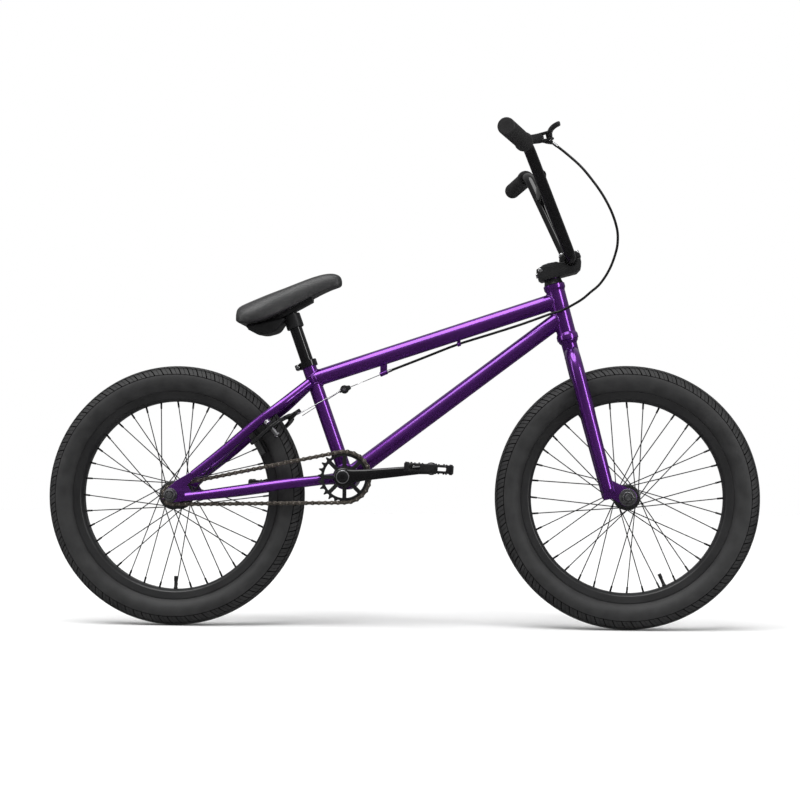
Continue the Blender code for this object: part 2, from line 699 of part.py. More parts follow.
def brake_lever():
    blade = [
        (-0.0005, 0.0, 0.0062), (0.012, 0.003, 0.0055), (0.028, 0.0075, 0.0042), (0.048, 0.0145, 0.0038),
        (0.064, 0.0240, 0.0038), (0.072, 0.0325, 0.0038),
    ]
    frame = axes(LEVER_PIN, BAR_AXIS, LEVER_REACH)
    hole = circle((0, 0), PIN_RADIUS + GAP, 16)
    piece = prism("brake_lever", BLACK_SATIN, [ribbon(blade), hole], 0.0090, frame)
    return piece


# Wheels

TYRE_HALF = (  # radius, half width: outer side down to the bead, then back up the inner side
    (TYRE_RADIUS, 0.0), (0.2580, 0.0145), (0.2460, 0.0262), (0.2320, 0.0295), (0.2150, 0.0240),
    (0.2094, 0.0156), (0.2025, 0.0150), (0.2025, 0.0120), (0.2150, 0.0190), (0.2320, 0.0262), (0.2480, 0.0205),
    (0.2570, 0.0),
)
INNER_TUBE_HALF = (
    (0.2525, 0.0), (0.2440, 0.0175), (0.2310, 0.0215), (0.2170, 0.0150), (0.2075, 0.0080), (0.2060, 0.0),
)
INNER_TUBE_STEPS = 24
RIM_HALF = (
    (RIM_INNER, 0.0095), (0.1945, 0.0165), (RIM_OUTER, 0.0180), (RIM_OUTER, 0.0166), (0.1995, 0.0158),
    (0.1965, 0.0080),
)


def both_halves(half):
    """A ring's section from its left half. Points on the middle plane aren't doubled."""
    right = [(radius, -y) for radius, y in reversed(half) if y > 0]
    return list(half) + right


def wheel(place, axle, valve_angle):
    frame = along(axle, ACROSS)
    valve = turn(valve_angle)
    turned(f"{place}_tyre", RUBBER, both_halves(TYRE_HALF), frame, WHEEL_STEPS)
    tube = turned(f"{place}_inner_tube", RUBBER, both_halves(INNER_TUBE_HALF), frame, INNER_TUBE_STEPS)
    stem_top, stem_end = axle + valve * 0.208, axle + valve * 0.163
    join(tube, pipe(f"{place}_valve", RUBBER, stem_top, stem_end, 0.0036, steps=12))
    rim = turned(f"{place}_rim", BLACK_SATIN, both_halves(RIM_HALF), frame, WHEEL_STEPS)
    cut(rim, pipe(f"{place}_valve_hole", BLACK_SATIN, axle + valve * 0.212, axle + valve * 0.18, 0.0042, steps=12))


def hub(name, half_section, axle):
    turned(name, BLACK_SATIN, half_section, along(axle, ACROSS))


def hubs():
    bore = AXLE_RADIUS + GAP
    flange, barrel = 0.0257, 0.0130
    front = [
        (bore, 0.0494), (0.0100, 0.0494), (0.0115, 0.0400), (0.0180, 0.0345), (flange, 0.0338), (flange, 0.0308),
        (0.0175, 0.0295), (barrel, 0.0200),
    ]
    hub("front_hub", front + [(radius, -y) for radius, y in reversed(front)], FRONT_AXLE)
    flange = 0.029
    rear = [
        (bore, 0.0549), (0.0105, 0.0549), (0.0120, 0.0430), (0.0190, 0.0350), (flange, 0.0340), (flange, 0.0308),
        (0.0190, 0.0290), (0.0155, 0.0150), (0.0175, -0.0120), (0.0215, -0.0240), (flange, -0.0290),
        (flange, -0.0322), (0.0210, -0.0335), (0.0200, -0.0355), (bore, -0.0355),
    ]
    hub("rear_hub", rear, REAR_AXLE)


def axle_and_nuts(place, axle, inside, plate, washer_radius):
    washer, height = 0.0022, 0.0105
    end = inside + plate + washer + height + 0.003
    bar_across(f"{place}_axle", STEEL, axle, -end, end, AXLE_RADIUS)
    for side, y in SIDES:
        face = inside + plate + GAP
        bore = AXLE_RADIUS + GAP
        middle = Vector((axle.x, y * (face + washer + height / 2 - 0.0005), axle.z))
        hexagon = [(px, py) for px, py in arc((0, 0), 0.0125, 0, 300, 5)]
        nut = prism(
            f"{place}_axle_nut_{side}", BLACK_SATIN, [hexagon, circle((0, 0), bore)], height, side_plane(middle)
        )
        start, finish = axle + ACROSS * y * face, axle + ACROSS * y * (face + washer)
        join(nut, pipe(f"{place}_washer_{side}", STEEL, start, finish, washer_radius, bore))


# Drivetrain

def sprocket_piece(name, paint, centre, teeth, windows):
    holes = [circle((0, 0), SPINDLE_RADIUS + GAP)] + windows
    return prism(name, paint, [toothed(teeth, pitch_radius(teeth))] + holes, 0.0032,
                 side_plane(Vector((centre.x, CHAIN_Y, centre.z))))


def sprocket():
    windows = []
    count = 8
    for i in range(count):
        start = 360 / count * i + 9
        end = 360 / count * (i + 1) - 9
        windows.append(arc((0, 0), 0.0415, start, end, 3) + arc((0, 0), 0.0225, end - 4, start + 4, 2))
    piece = sprocket_piece("sprocket", BLACK_SATIN, BB, SPROCKET_TEETH, windows)
    spacer_end = -SHELL_HALF_WIDTH - 0.0004
    join(piece, bar_across("spacer", BLACK_SATIN, BB, spacer_end, CHAIN_Y, 0.0135, SPINDLE_RADIUS + GAP))


def driver():
    bore = AXLE_RADIUS + GAP
    teeth = prism(
        "driver", BLACK_SATIN, [toothed(DRIVER_TEETH, pitch_radius(DRIVER_TEETH)), circle((0, 0), bore)],
        0.0032, side_plane(REAR_AXLE + ACROSS * CHAIN_Y),
    )
    sleeve = bar_across("driver_sleeve", BLACK_SATIN, REAR_AXLE, -0.0363, -0.0548, 0.0125, bore)
    join(teeth, sleeve)


def chain():
    outer_reach, inner_reach = 0.0046, -0.0043
    groove_reach, groove_width = 0.0036, 0.0040
    frame = side_plane(REAR_AXLE + ACROSS * CHAIN_Y)
    piece = prism("chain", DARK_STEEL, [belt(outer_reach), belt(inner_reach)], 0.0090, frame)
    groove = prism("chain_groove", DARK_STEEL, [belt(groove_reach), belt(inner_reach - 0.002)], groove_width, frame)
    cut(piece, groove)


PEDAL_AXLE = 0.005
CRANK_INNER, CRANK_OUTER = 0.064, 0.080
CRANK_EYE = 0.0465


def crank(side, y):
    """The arm, with the eye that grips the spindle and a hole for the pedal's axle."""
    direction = turn(CRANK_LIFT if side == "right" else CRANK_LIFT + 180)
    middle = BB + ACROSS * y * (CRANK_INNER + CRANK_OUTER) / 2
    frame = axes(middle, direction, (0, 0, 1) if side == "right" else (0, 0, -1))
    root, tip = 0.0185, 0.0125
    outline = arc((0, 0), root, 50, 310, 9) + [(0.030, -0.0115), (0.150, -0.0085)]
    outline += arc((CRANK_LENGTH, 0), tip, -125, 125, 8) + [(0.150, 0.0085), (0.030, 0.0115)]
    arm = rounded(prism(f"crank_{side}", BLACK_GLOSS, [outline], CRANK_OUTER - CRANK_INNER, frame), 0.0025, 1)
    join(arm, bar_across(f"eye_{side}", BLACK_GLOSS, BB, y * CRANK_EYE, y * (CRANK_INNER + 0.004), 0.0165))
    pedal = BB + direction * CRANK_LENGTH
    bolt_recess = bar_across(f"spindle_hole_{side}", BLACK_GLOSS, BB, y * 0.04, y * 0.09, SPINDLE_RADIUS + GAP)
    pedal_hole = bar_across(f"pedal_hole_{side}", BLACK_GLOSS, pedal, y * 0.05, y * 0.09, 0.0065 + GAP)
    cut(arm, bolt_recess, pedal_hole)
    return pedal


def pedal(side, y, centre):
    """The axle screwed into the crank, and the body that turns on it."""
    end = 0.194
    profile = [
        (0, 0.0645), (0.0065, 0.0645), (0.0065, 0.0803), (0.0095, 0.0803), (0.0095, 0.0865), (0.0075, 0.0880),
        (0.0075, 0.0950), (PEDAL_AXLE, 0.0955), (PEDAL_AXLE, end), (0, end),
    ]
    turned(f"pedal_axle_{side}", STEEL, profile, along(Vector((centre.x, 0, centre.z)), ACROSS * y))
    inner, outer = 0.097, 0.197
    width, length = outer - inner, 0.092
    spine, bridge, rail = 0.0105, 0.004, 0.007
    frame = Matrix.Translation(Vector((centre.x, y * (inner + outer) / 2, centre.z)))
    frame = frame @ Matrix.Rotation(-math.radians(PEDAL_TILT), 4, "Y")
    edge = [
        (-length / 2, -0.034), (-0.034, -width / 2), (0.034, -width / 2), (length / 2, -0.034),
        (length / 2, 0.034), (0.034, width / 2), (-0.034, width / 2), (-length / 2, 0.034),
    ]
    body = prism(f"pedal_{side}", BLACK_SATIN, [edge], 0.0165, frame)
    for front in (-1, 1):
        for out in (-1, 1):
            near, far = spine * front, (length / 2 - rail) * front
            low, high = bridge * out, (width / 2 - rail) * out
            window = [(near, low), (far, low), (far, high * 0.72), (far * 0.8, high), (near, high)]
            cut(body, prism(f"pedal_window_{side}", BLACK_SATIN, [window], 0.03, frame))
        slot_place = frame @ Matrix.Translation((front * (spine + 0.0140), 0, 0))
        cut(body, box(f"pedal_slot_{side}", BLACK_SATIN, (0.0215, 0.12, 0.0070), slot_place))
    cut(body, bar_across(f"pedal_bore_{side}", BLACK_SATIN, centre, y * 0.09, y * (end + 0.0006), PEDAL_AXLE + GAP))


def drivetrain():
    sprocket()
    driver()
    chain()
    for side, y in SIDES:
        pedal(side, y, crank(side, y))
    spindle_end = 0.078
    bar_across("crank_spindle", STEEL, BB, -spindle_end, spindle_end, SPINDLE_RADIUS)


# Rear brake

ARM_THICKNESS = 0.0065
ARM_OUT = {"right": 0.0192, "left": 0.0268}  # the two arms pass each other above the tyre


def brake_arm(side, y):
    """A lever that crosses the tyre: its pad end is on its own side, and its wire end on the other."""
    centre_line = [
        (0.0400, 0.1925, 0.0060), (0.0432, 0.2150, 0.0070), (BRAKE_PIVOT_Y, BRAKE_PIVOT, 0.0100),
        (0.0350, 0.2620, 0.0080), (0.0120, 0.2745, 0.0065), (-0.0140, 0.2800, 0.0060), (-0.0315, 0.2960, 0.0050),
    ]
    outline = ribbon([(y * across, up, half) for across, up, half in centre_line])
    hole = circle((y * BRAKE_PIVOT_Y, BRAKE_PIVOT), BOSS_RADIUS + GAP, 16)
    frame = axes(brake_place(0, 0, ARM_OUT[side]), ACROSS, BRAKE_UP)
    prism(f"brake_arm_{side}", DARK_STEEL, [outline, hole], ARM_THICKNESS, frame)


def brake_pad(side, y):
    """A block along the rim, and the stud that the arm holds."""
    inner, outer = 0.0206, 0.0310
    radius, height, span = 0.1975, 0.012, 9.0
    around = 39 - math.degrees(math.asin(ARM_OUT[side] / radius))
    low, high = radius - height / 2, radius + height / 2
    outline = arc((0, 0), high, around - span, around + span, 6) + arc((0, 0), low, around + span, around - span, 6)
    middle = at(0, y * (inner + outer) / 2, TYRE_RADIUS)
    pad = prism(f"brake_pad_{side}", RUBBER, [outline], outer - inner, side_plane(middle))
    stud = Vector(REAR_AXLE) + turn(around) * (radius - 0.002)
    join(pad, bar_across(f"pad_stud_{side}", STEEL, stud, y * (outer - 0.002), y * 0.0337, 0.0045, steps=12))


def cable_hanger():
    outline = arc((0, 0), 0.0085, 40, 320, 14) + [(0.013, -0.0035), (0.013, 0.0035)]
    prism("cable_hanger", STEEL, [outline], 0.008, axes(HANGER, WIRE_RUN, ACROSS.cross(WIRE_RUN)))


HOUSING_RADIUS = 0.0025
HOUSING = (
    (0.7570, -0.1850, 0.9338), (0.7830, -0.1750, 0.9148), (0.8100, -0.1600, 0.8930), (0.8330, -0.1450, 0.8680),
    (0.8530, -0.1300, 0.8420), (0.8700, -0.1150, 0.8120), (0.8805, -0.1000, 0.7830), (0.8827, -0.0900, 0.7620),
    (0.8800, -0.0830, 0.7413), (0.8680, -0.0700, 0.7080), (0.8490, -0.0600, 0.6790), (0.8300, -0.0520, 0.6630),
    (0.8155, -0.0480, 0.6510), (0.7930, -0.0420, 0.6380), (0.7730, -0.0370, 0.6286), (0.7555, -0.0330, 0.6240),
    (0.7340, -0.0280, 0.6167), (0.6920, -0.0205, 0.6025), (0.6350, -0.0070, 0.5856), (0.5840, 0.0000, 0.5706),
    (0.5560, 0.0000, 0.5610), (0.4920, 0.0000, 0.5358),
)


def brake_cables():
    points = [at(*point) for point in HOUSING] + [CABLE_STOP + WIRE_RUN * 0.0084]
    route = smooth([(*point, HOUSING_RADIUS) for point in points], 0.0135)
    swept("brake_housing", BLACK_SATIN, route, sides=8)
    start = HANGER + WIRE_RUN * 0.0135
    end = CABLE_STOP + WIRE_RUN * 0.0078
    wire = 0.0008
    pipe("brake_wire", STEEL, start, end, wire, steps=8)
    tip = brake_place(0.0335, 0.2965, ARM_OUT["left"] + ARM_THICKNESS / 2 + 0.0015)
    other = Vector((tip.x, -tip.y, tip.z))
    behind = HANGER - WIRE_RUN * 0.0095
    straddle = [(*tip, wire), (*(behind + ACROSS * 0.0035), wire), (*(behind - ACROSS * 0.0035), wire), (*other, wire)]
    swept("straddle_wire", STEEL, straddle, sides=8)


# Saddle and seatpost

POST_TOP = at(0.2303, 0, 0.6270)
SADDLE = (  # forward, top, underside, half width
    (0.1215, 0.6370, 0.6110, 0.044), (0.1340, 0.6450, 0.6030, 0.060), (0.1600, 0.6560, 0.6040, 0.065),
    (0.1900, 0.6690, 0.6130, 0.058), (0.2200, 0.6805, 0.6300, 0.041), (0.2550, 0.6950, 0.6490, 0.029),
    (0.2900, 0.7075, 0.6680, 0.0245), (0.3180, 0.7110, 0.6800, 0.0215), (0.3345, 0.7020, 0.6830, 0.0150),
)


def saddle_ring(x, top, low, half):
    """One section of the cover, a rounded top over a flat underside."""
    height = top - low
    shape = (
        (0.0, 1.0), (0.45, 0.96), (0.80, 0.78), (1.0, 0.42), (0.98, 0.08), (0.80, 0.0), (0.0, 0.0),
    )
    left = [at(x, half * across, low + height * up) for across, up in shape]
    right = [at(x, -half * across, low + height * up) for across, up in reversed(shape[1:-1])]
    return left + right


def underside(x):
    """The height of the cover's underside at x."""
    for first, second in zip(SADDLE, SADDLE[1:]):
        if x <= second[0]:
            share = (x - first[0]) / (second[0] - first[0])
            return first[2] + (second[2] - first[2]) * share
    return SADDLE[-1][2]


def saddle():
    loft("saddle_cover", LEATHER, [saddle_ring(*station) for station in SADDLE], 1)
    clearance, plate = 0.0035, 0.005
    stops = (0.1450, 0.1650, 0.1900, 0.2200, 0.2550, 0.2750)
    upper = [(x, underside(x) - clearance) for x in stops]
    lower = [(x, z - plate) for x, z in reversed(upper)]
    outline = [(REAR_X + x, z) for x, z in upper + lower][::-1]
    base = prism("saddle_base", PLASTIC, [outline], 0.030, side_plane(Vector((0, 0, 0))))
    tail_outline = [
        (0.1450, 0.5985), (0.1688, 0.5825), (0.2085, 0.5915), (0.2240, 0.6180), (0.1900, 0.6060), (0.1650, 0.6005),
    ]
    tail = prism(
        "saddle_tail", PLASTIC, [[(REAR_X + x, z) for x, z in tail_outline]], 0.062, side_plane(Vector((0, 0, 0)))
    )
    socket = pipe("post_socket", PLASTIC, POST_TOP - SEAT_UP * 0.030, POST_TOP - SEAT_UP * 0.002, 0.0175)
    post_room = pipe("post_room", PLASTIC, POST_TOP - SEAT_UP * 0.05, POST_TOP + SEAT_UP * GAP, SEATPOST_RADIUS + GAP)
    join(base, tail, socket)
    cut(base, post_room)
    post_length = 0.225
    pipe("seatpost", BLACK_GLOSS, POST_TOP - SEAT_UP * post_length, POST_TOP, SEATPOST_RADIUS, 0.0105)


def build():
    head_tube()
    shell_mitre, seat_mitre = main_tubes()
    bottom_bracket()
    rear_triangle(shell_mitre, seat_mitre)
    seat_clamp()
    headset()
    fork()
    stem()
    handlebar()
    for side, y in SIDES:
        grip(side, y)
        brake_arm(side, y)
        brake_pad(side, y)
    lever_clamp()
    brake_lever()
    wheel("front", FRONT_AXLE, -67)
    wheel("rear", REAR_AXLE, -90)
    hubs()
    axle_and_nuts("front", FRONT_AXLE, FRONT_HUB_HALF, 0.005, 0.0172)
    axle_and_nuts("rear", REAR_AXLE, REAR_HUB_HALF, PLATE, 0.0140)
    drivetrain()
    cable_hanger()
    brake_cables()
    saddle()


build()
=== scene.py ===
import json
import math

import bmesh
import bpy
from mathutils import Matrix, Vector
from mathutils.geometry import interpolate_bezier


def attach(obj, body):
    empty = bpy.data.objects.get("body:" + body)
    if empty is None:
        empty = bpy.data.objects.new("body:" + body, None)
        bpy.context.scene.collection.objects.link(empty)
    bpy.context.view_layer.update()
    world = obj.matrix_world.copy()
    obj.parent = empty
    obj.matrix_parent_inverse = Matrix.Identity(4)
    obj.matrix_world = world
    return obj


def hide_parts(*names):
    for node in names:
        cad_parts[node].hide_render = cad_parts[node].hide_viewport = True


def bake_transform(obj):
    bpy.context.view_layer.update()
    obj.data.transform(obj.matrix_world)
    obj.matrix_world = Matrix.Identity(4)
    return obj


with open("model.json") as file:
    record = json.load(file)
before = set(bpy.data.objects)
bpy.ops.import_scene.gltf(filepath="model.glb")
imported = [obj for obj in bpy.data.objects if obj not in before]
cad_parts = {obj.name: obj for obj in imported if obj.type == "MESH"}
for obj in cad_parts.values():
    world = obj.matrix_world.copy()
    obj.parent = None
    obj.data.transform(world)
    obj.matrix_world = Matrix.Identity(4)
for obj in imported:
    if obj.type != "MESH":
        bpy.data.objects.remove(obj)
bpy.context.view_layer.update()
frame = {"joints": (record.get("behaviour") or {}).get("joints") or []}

JOINTS = {joint["name"]: joint for joint in frame["joints"]}
SIDES = (("right", -1), ("left", 1))
GAP = 0.0003  # between a shaft and its bore

# ---------------------------------------------------------------- places, from the frame's joints and nodes


def joint_place(name):
    return Vector(JOINTS[name]["pos_m"])


ACROSS = Vector((0, 1, 0))
REAR_AXLE = joint_place("rear_wheel_spin")
FRONT_AXLE = joint_place("front_wheel_spin")
BB = joint_place("crank_spin")
STEER_UP = Vector(JOINTS["steering_turn"]["axis"]).normalized()
STEER_ORIGIN = joint_place("steering_turn")
STEER_FORWARD = ACROSS.cross(STEER_UP)
SEAT_UP = Vector(JOINTS["seat_height"]["axis"]).normalized()


def at(x, y, z):
    """The point x ahead of the rear axle, y to the left of the middle and z above the ground."""
    return Vector((REAR_AXLE.x + x, y, z))


def turn(degrees):
    """The direction in the side plane this many degrees above forwards."""
    angle = math.radians(degrees)
    return Vector((math.cos(angle), 0, math.sin(angle)))


def steer(along, forward, y=0.0):
    """The point this far up the steering axis, ahead of it, and to the left."""
    return STEER_ORIGIN + STEER_UP * along + STEER_FORWARD * forward + ACROSS * y


def axes(origin, x_axis, y_axis):
    """The matrix that puts local X and Y along these two directions."""
    x = Vector(x_axis).normalized()
    z = x.cross(Vector(y_axis)).normalized()
    return Matrix.Translation(origin) @ Matrix((x, z.cross(x), z)).transposed().to_4x4()


def along(origin, direction):
    """The matrix that puts local Z along this direction, with local X as near +X as it can be."""
    z = Vector(direction).normalized()
    hint = Vector((1, 0, 0)) if abs(z.x) < 0.99 else Vector((0, 0, 1))
    x = (hint - z * z.dot(hint)).normalized()
    return Matrix.Translation(origin) @ Matrix((x, z.cross(x), z)).transposed().to_4x4()


def side_plane(origin):
    """Local X forwards and local Y up, so that local Z points right."""
    return axes(origin, (1, 0, 0), (0, 0, 1))


# ---------------------------------------------------------------- materials


def connect(tree, node, inputs):
    """Each named input takes a value, or another node's output."""
    for name, value in inputs.items():
        if isinstance(value, bpy.types.NodeSocket):
            tree.links.new(value, node.inputs[name])
        else:
            node.inputs[name].default_value = value


def added(tree, kind, inputs=None):
    node = tree.nodes.new("ShaderNode" + kind)
    connect(tree, node, inputs or {})
    return node


def bumped(tree, height, strength, distance):
    """The surface rises and falls with this output."""
    lift = added(tree, "Bump", {"Strength": strength, "Distance": distance, "Height": height})
    connect(tree, tree.nodes["Principled BSDF"], {"Normal": lift.outputs["Normal"]})


def finish(
    name, color, roughness, metallic=0.0, coat=0.0, other=None, grain=60.0, bump=0.0,
    bump_size=400.0, rough_spread=0.08, specular=0.5
):
    """A material whose colour, roughness and surface vary a little, as the real finish does."""
    paint = bpy.data.materials.new(name)
    paint.use_nodes = True
    tree = paint.node_tree
    place = added(tree, "TexCoord").outputs["Object"]
    clouds = added(tree, "TexNoise", {"Scale": grain, "Detail": 6.0, "Vector": place})
    amount = clouds.outputs["Fac"]
    ramp = added(tree, "ValToRGB", {"Fac": amount})
    dark, light = ramp.color_ramp.elements
    dark.position, dark.color = 0.35, (*color, 1)
    light.position, light.color = 0.65, (*(other or [c * 1.25 for c in color]), 1)
    smoothest, roughest = max(0.02, roughness - rough_spread), roughness + rough_spread
    spread = added(tree, "MapRange", {"To Min": smoothest, "To Max": roughest, "Value": amount})
    connect(tree, tree.nodes["Principled BSDF"], {
        "Metallic": metallic, "Coat Weight": coat, "Coat Roughness": 0.06,
        "Specular IOR Level": specular, "Base Color": ramp.outputs["Color"],
        "Roughness": spread.outputs["Result"],
    })
    if bump:
        fine = added(tree, "TexNoise", {"Scale": bump_size, "Detail": 4.0, "Vector": place})
        bumped(tree, fine.outputs["Fac"], bump, 0.001)
    return paint


def paint_groove_shade(paint):
    """Painted shade: the rubber is made near black, and loses its reflection, in the tread grooves, by the
    share that the mesh keeps in its groove layer.
    """
    tree = paint.node_tree
    shader = tree.nodes["Principled BSDF"]
    plain = shader.inputs["Base Color"].links[0].from_socket
    groove_shade = added(tree, "Attribute")
    groove_shade.attribute_name = "groove"
    shade = added(tree, "Mix")
    shade.data_type = "RGBA"
    colors = [socket for socket in shade.inputs if socket.type == "RGBA"]
    tree.links.new(groove_shade.outputs["Fac"], shade.inputs[0])
    tree.links.new(plain, colors[0])
    # Near black: the painted shade in the grooves.
    colors[1].default_value = (0.0012, 0.0012, 0.0012, 1)
    result = next(socket for socket in shade.outputs if socket.type == "RGBA")
    tree.links.new(result, shader.inputs["Base Color"])
    # Painted shade again: the rubber's reflection is taken away in the grooves.
    shine = added(tree, "MapRange", {"To Min": 0.30, "To Max": 0.0, "Value": groove_shade.outputs["Fac"]})
    connect(tree, shader, {"Specular IOR Level": shine.outputs["Result"]})


def leather():
    """Grained synthetic leather: small cells with creases between them."""
    paint = finish(
        "saddle_leather_look", (0.0150, 0.0150, 0.0155), 0.34, specular=0.60, rough_spread=0.05
    )
    tree = paint.node_tree
    place = added(tree, "TexCoord").outputs["Object"]
    cells = added(tree, "TexVoronoi", {"Scale": 650.0, "Vector": place})
    cells.feature = "DISTANCE_TO_EDGE"
    limit = added(tree, "MapRange", {"From Max": 0.12, "Value": cells.outputs["Distance"]})
    bumped(tree, limit.outputs["Result"], 0.35, 0.0005)
    return paint


def candy():
    """Translucent purple lacquer over bright metallic flake."""
    paint = finish(
        "candy_purple", (0.122, 0.022, 0.235), 0.22, metallic=0.86, coat=0.55,
        other=(0.150, 0.028, 0.285), grain=9.0, rough_spread=0.05
    )
    tree = paint.node_tree
    clouds = next(node for node in tree.nodes if node.type == "TEX_NOISE")
    clouds.inputs["Detail"].default_value = 1.0
    place = added(tree, "TexCoord").outputs["Object"]
    flake = added(tree, "TexVoronoi", {"Scale": 2600.0, "Vector": place})
    bumped(tree, flake.outputs["Distance"], 0.02, 0.0002)
    return paint


CANDY = candy()
LEATHER = leather()
GLOSS = finish(
    "gloss_black_lacquer", (0.0040, 0.0038, 0.0042), 0.10, coat=0.25, grain=25, specular=0.32,
    rough_spread=0.03
)
SATIN = finish(
    "satin_black_anodised", (0.0115, 0.0115, 0.0120), 0.30, bump=0.04, bump_size=900, specular=0.36
)
RIM_BLACK = finish(
    "rim_black_anodised", (0.0135, 0.0135, 0.0140), 0.32, grain=18, bump=0.02, bump_size=900,
    specular=0.42
)
RUBBER = finish(
    "tyre_rubber_look", (0.0200, 0.0200, 0.0205), 0.56, other=(0.0285, 0.0285, 0.0290), grain=35,
    bump=0.22, bump_size=900, specular=0.30
)
GRIP = finish(
    "grip_rubber_look", (0.0135, 0.0130, 0.0135), 0.50, bump=0.1, bump_size=1400, specular=0.28
)
PLASTIC = finish(
    "moulded_black_plastic", (0.0080, 0.0080, 0.0085), 0.40, bump=0.12, bump_size=1100,
    specular=0.32
)
# Painted shade in the tyre's tread grooves.
paint_groove_shade(RUBBER)
CABLE = finish("cable_casing_look", (0.006, 0.006, 0.006), 0.30, specular=0.30)
STEEL = finish(
    "bright_bolt_steel", (0.42, 0.42, 0.43), 0.26, metallic=1.0, other=(0.55, 0.55, 0.56),
    grain=150, bump=0.04, bump_size=1500
)
SILVER = finish(
    "brake_alloy", (0.52, 0.52, 0.54), 0.32, metallic=1.0, other=(0.66, 0.66, 0.68), grain=120,
    bump=0.06, bump_size=900
)
NUT_STEEL = finish(
    "dull_nut_steel", (0.13, 0.13, 0.135), 0.32, metallic=0.9, other=(0.24, 0.24, 0.245), grain=260,
    bump=0.08, bump_size=1200
)
DARK_BOLT = finish(
    "blackened_bolt", (0.030, 0.030, 0.032), 0.32, metallic=0.85, grain=200, bump=0.04,
    bump_size=900
)
CHAIN_OUTER = finish(
    "chain_plate_dark", (0.15, 0.132, 0.115), 0.30, metallic=0.95, other=(0.30, 0.265, 0.23),
    grain=220, bump=0.06, bump_size=1500
)
CHAIN_PIN = finish("chain_pin_bright", (0.62, 0.56, 0.50), 0.28, metallic=1.0, grain=220)
BRASS = finish(
    "brass_tab", (0.62, 0.36, 0.10), 0.35, metallic=0.9, grain=160, bump=0.04, bump_size=900
)
SPOKE = finish(
    "black_spoke_wire", (0.012, 0.012, 0.013), 0.35, metallic=0.3, grain=100, specular=0.3
)


# ---------------------------------------------------------------- mesh tools


def new_piece(name, mesh, paint, smooth_below=40):
    mesh.materials.clear()
    mesh.materials.append(paint)
    mesh.shade_smooth()
    mesh.set_sharp_from_angle(angle=math.radians(smooth_below))
    piece = bpy.data.objects.new(name, mesh)
    bpy.context.scene.collection.objects.link(piece)
    return piece


def finished(work, name, paint, place=None, smooth_below=40):
    """The piece that a bmesh makes, moved by the matrix."""
    if place is not None:
        bmesh.ops.transform(work, matrix=place, verts=work.verts)
    bmesh.ops.recalc_face_normals(work, faces=work.faces)
    mesh = bpy.data.meshes.new(name)
    work.to_mesh(mesh)
    work.free()
    return new_piece(name, mesh, paint, smooth_below)


def rings_mesh(work, rings, closed=False):
    """Faces between rings of equally many points, joined end to end if closed, or else capped."""
    loops = [[work.verts.new(point) for point in ring] for ring in rings]
    pairs = list(zip(loops, loops[1:]))
    if closed:
        pairs.append((loops[-1], loops[0]))
    count = len(rings[0])
    for first, second in pairs:
        for i in range(count):
            j = (i + 1) % count
            work.faces.new((first[i], first[j], second[j], second[i]))
    if not closed:
        work.faces.new(loops[0][::-1])
        work.faces.new(loops[-1])


def polar(radius, angle, height=0.0):
    """A point round local Z."""
    return Vector((radius * math.cos(angle), radius * math.sin(angle), height))


def lathe_into(work, profile, place, steps=48, closed=False):
    """A profile of (radius, height) turned round local Z; it closes if it never meets the axis."""
    closed = closed or min(radius for radius, _ in profile) > 1e-6
    columns = []
    for i in range(steps):
        angle = 2 * math.pi * i / steps
        columns.append([place @ polar(radius, angle, height) for radius, height in profile])
    poles = {
        k: work.verts.new(columns[0][k]) for k, (radius, _) in enumerate(profile) if radius <= 1e-6
    }
    grid = [
        [poles.get(k) or work.verts.new(point) for k, point in enumerate(column)]
        for column in columns
    ]
    for i in range(steps):
        here, there = grid[i], grid[(i + 1) % steps]
        for k in range(len(profile) if closed else len(profile) - 1):
            n = (k + 1) % len(profile)
            corners = []
            for vert in (here[k], there[k], there[n], here[n]):
                if vert not in corners:
                    corners.append(vert)
            if len(corners) > 2:
                work.faces.new(corners)


def lathe(name, paint, profile, place, steps=48, closed=False):
    work = bmesh.new()
    lathe_into(work, profile, place, steps, closed)
    return finished(work, name, paint)


def both_sides(half):
    """A profile from its half at positive heights."""
    return half + [(radius, -height) for radius, height in reversed(half) if height > 0]


def edged(start, end, radius, rim=0.0006, bore=0.0):
    """A round bar's profile with its ends chamfered."""
    return [
        (bore, start), (radius - rim, start), (radius, start + rim), (radius, end - rim),
        (radius - rim, end), (bore, end)
    ]


def frames_of(route):
    """A steady pair of cross directions at each point of a route."""
    points = [Vector(point[:3]) for point in route]
    headings = []
    for i in range(len(points)):
        headings.append((points[min(i + 1, len(points) - 1)] - points[max(i - 1, 0)]).normalized())
    side = headings[0].orthogonal().normalized()
    result = []
    for point, heading in zip(points, headings):
        side = (side - heading * side.dot(heading)).normalized()
        result.append((point, side, heading.cross(side)))
    return result


def tube_into(work, route, sides):
    """A round bar along (x, y, z, radius) points."""
    rings = []
    for (point, side, other), station in zip(frames_of(route), route):
        ring = []
        for i in range(sides):
            angle = 2 * math.pi * i / sides
            ring.append(point + (side * math.cos(angle) + other * math.sin(angle)) * station[3])
        rings.append(ring)
    rings_mesh(work, rings)


def tube(name, paint, route, sides=32):
    work = bmesh.new()
    tube_into(work, route, sides)
    return finished(work, name, paint)


def smooth(stations, spacing):
    """Points about this far apart on a smooth curve through (x, y, z, radius) stations."""
    knots = [(Vector(station[:3]), station[3]) for station in stations]
    padded = [knots[0], *knots, knots[-1]]
    route = [tuple(stations[0])]
    for before, (start, radius), (end, next_radius), after in zip(
        padded, padded[1:], padded[2:], padded[3:]
    ):
        reach = (end - start).length / 3
        leave = start + (end - before[0]).normalized() * reach
        arrive = end - (after[0] - start).normalized() * reach
        count = max(2, round((end - start).length / spacing) + 1)
        for i, point in enumerate(interpolate_bezier(start, leave, arrive, end, count)[1:], 1):
            share = i / (count - 1)
            route.append((*point, radius + (next_radius - radius) * share))
    return route


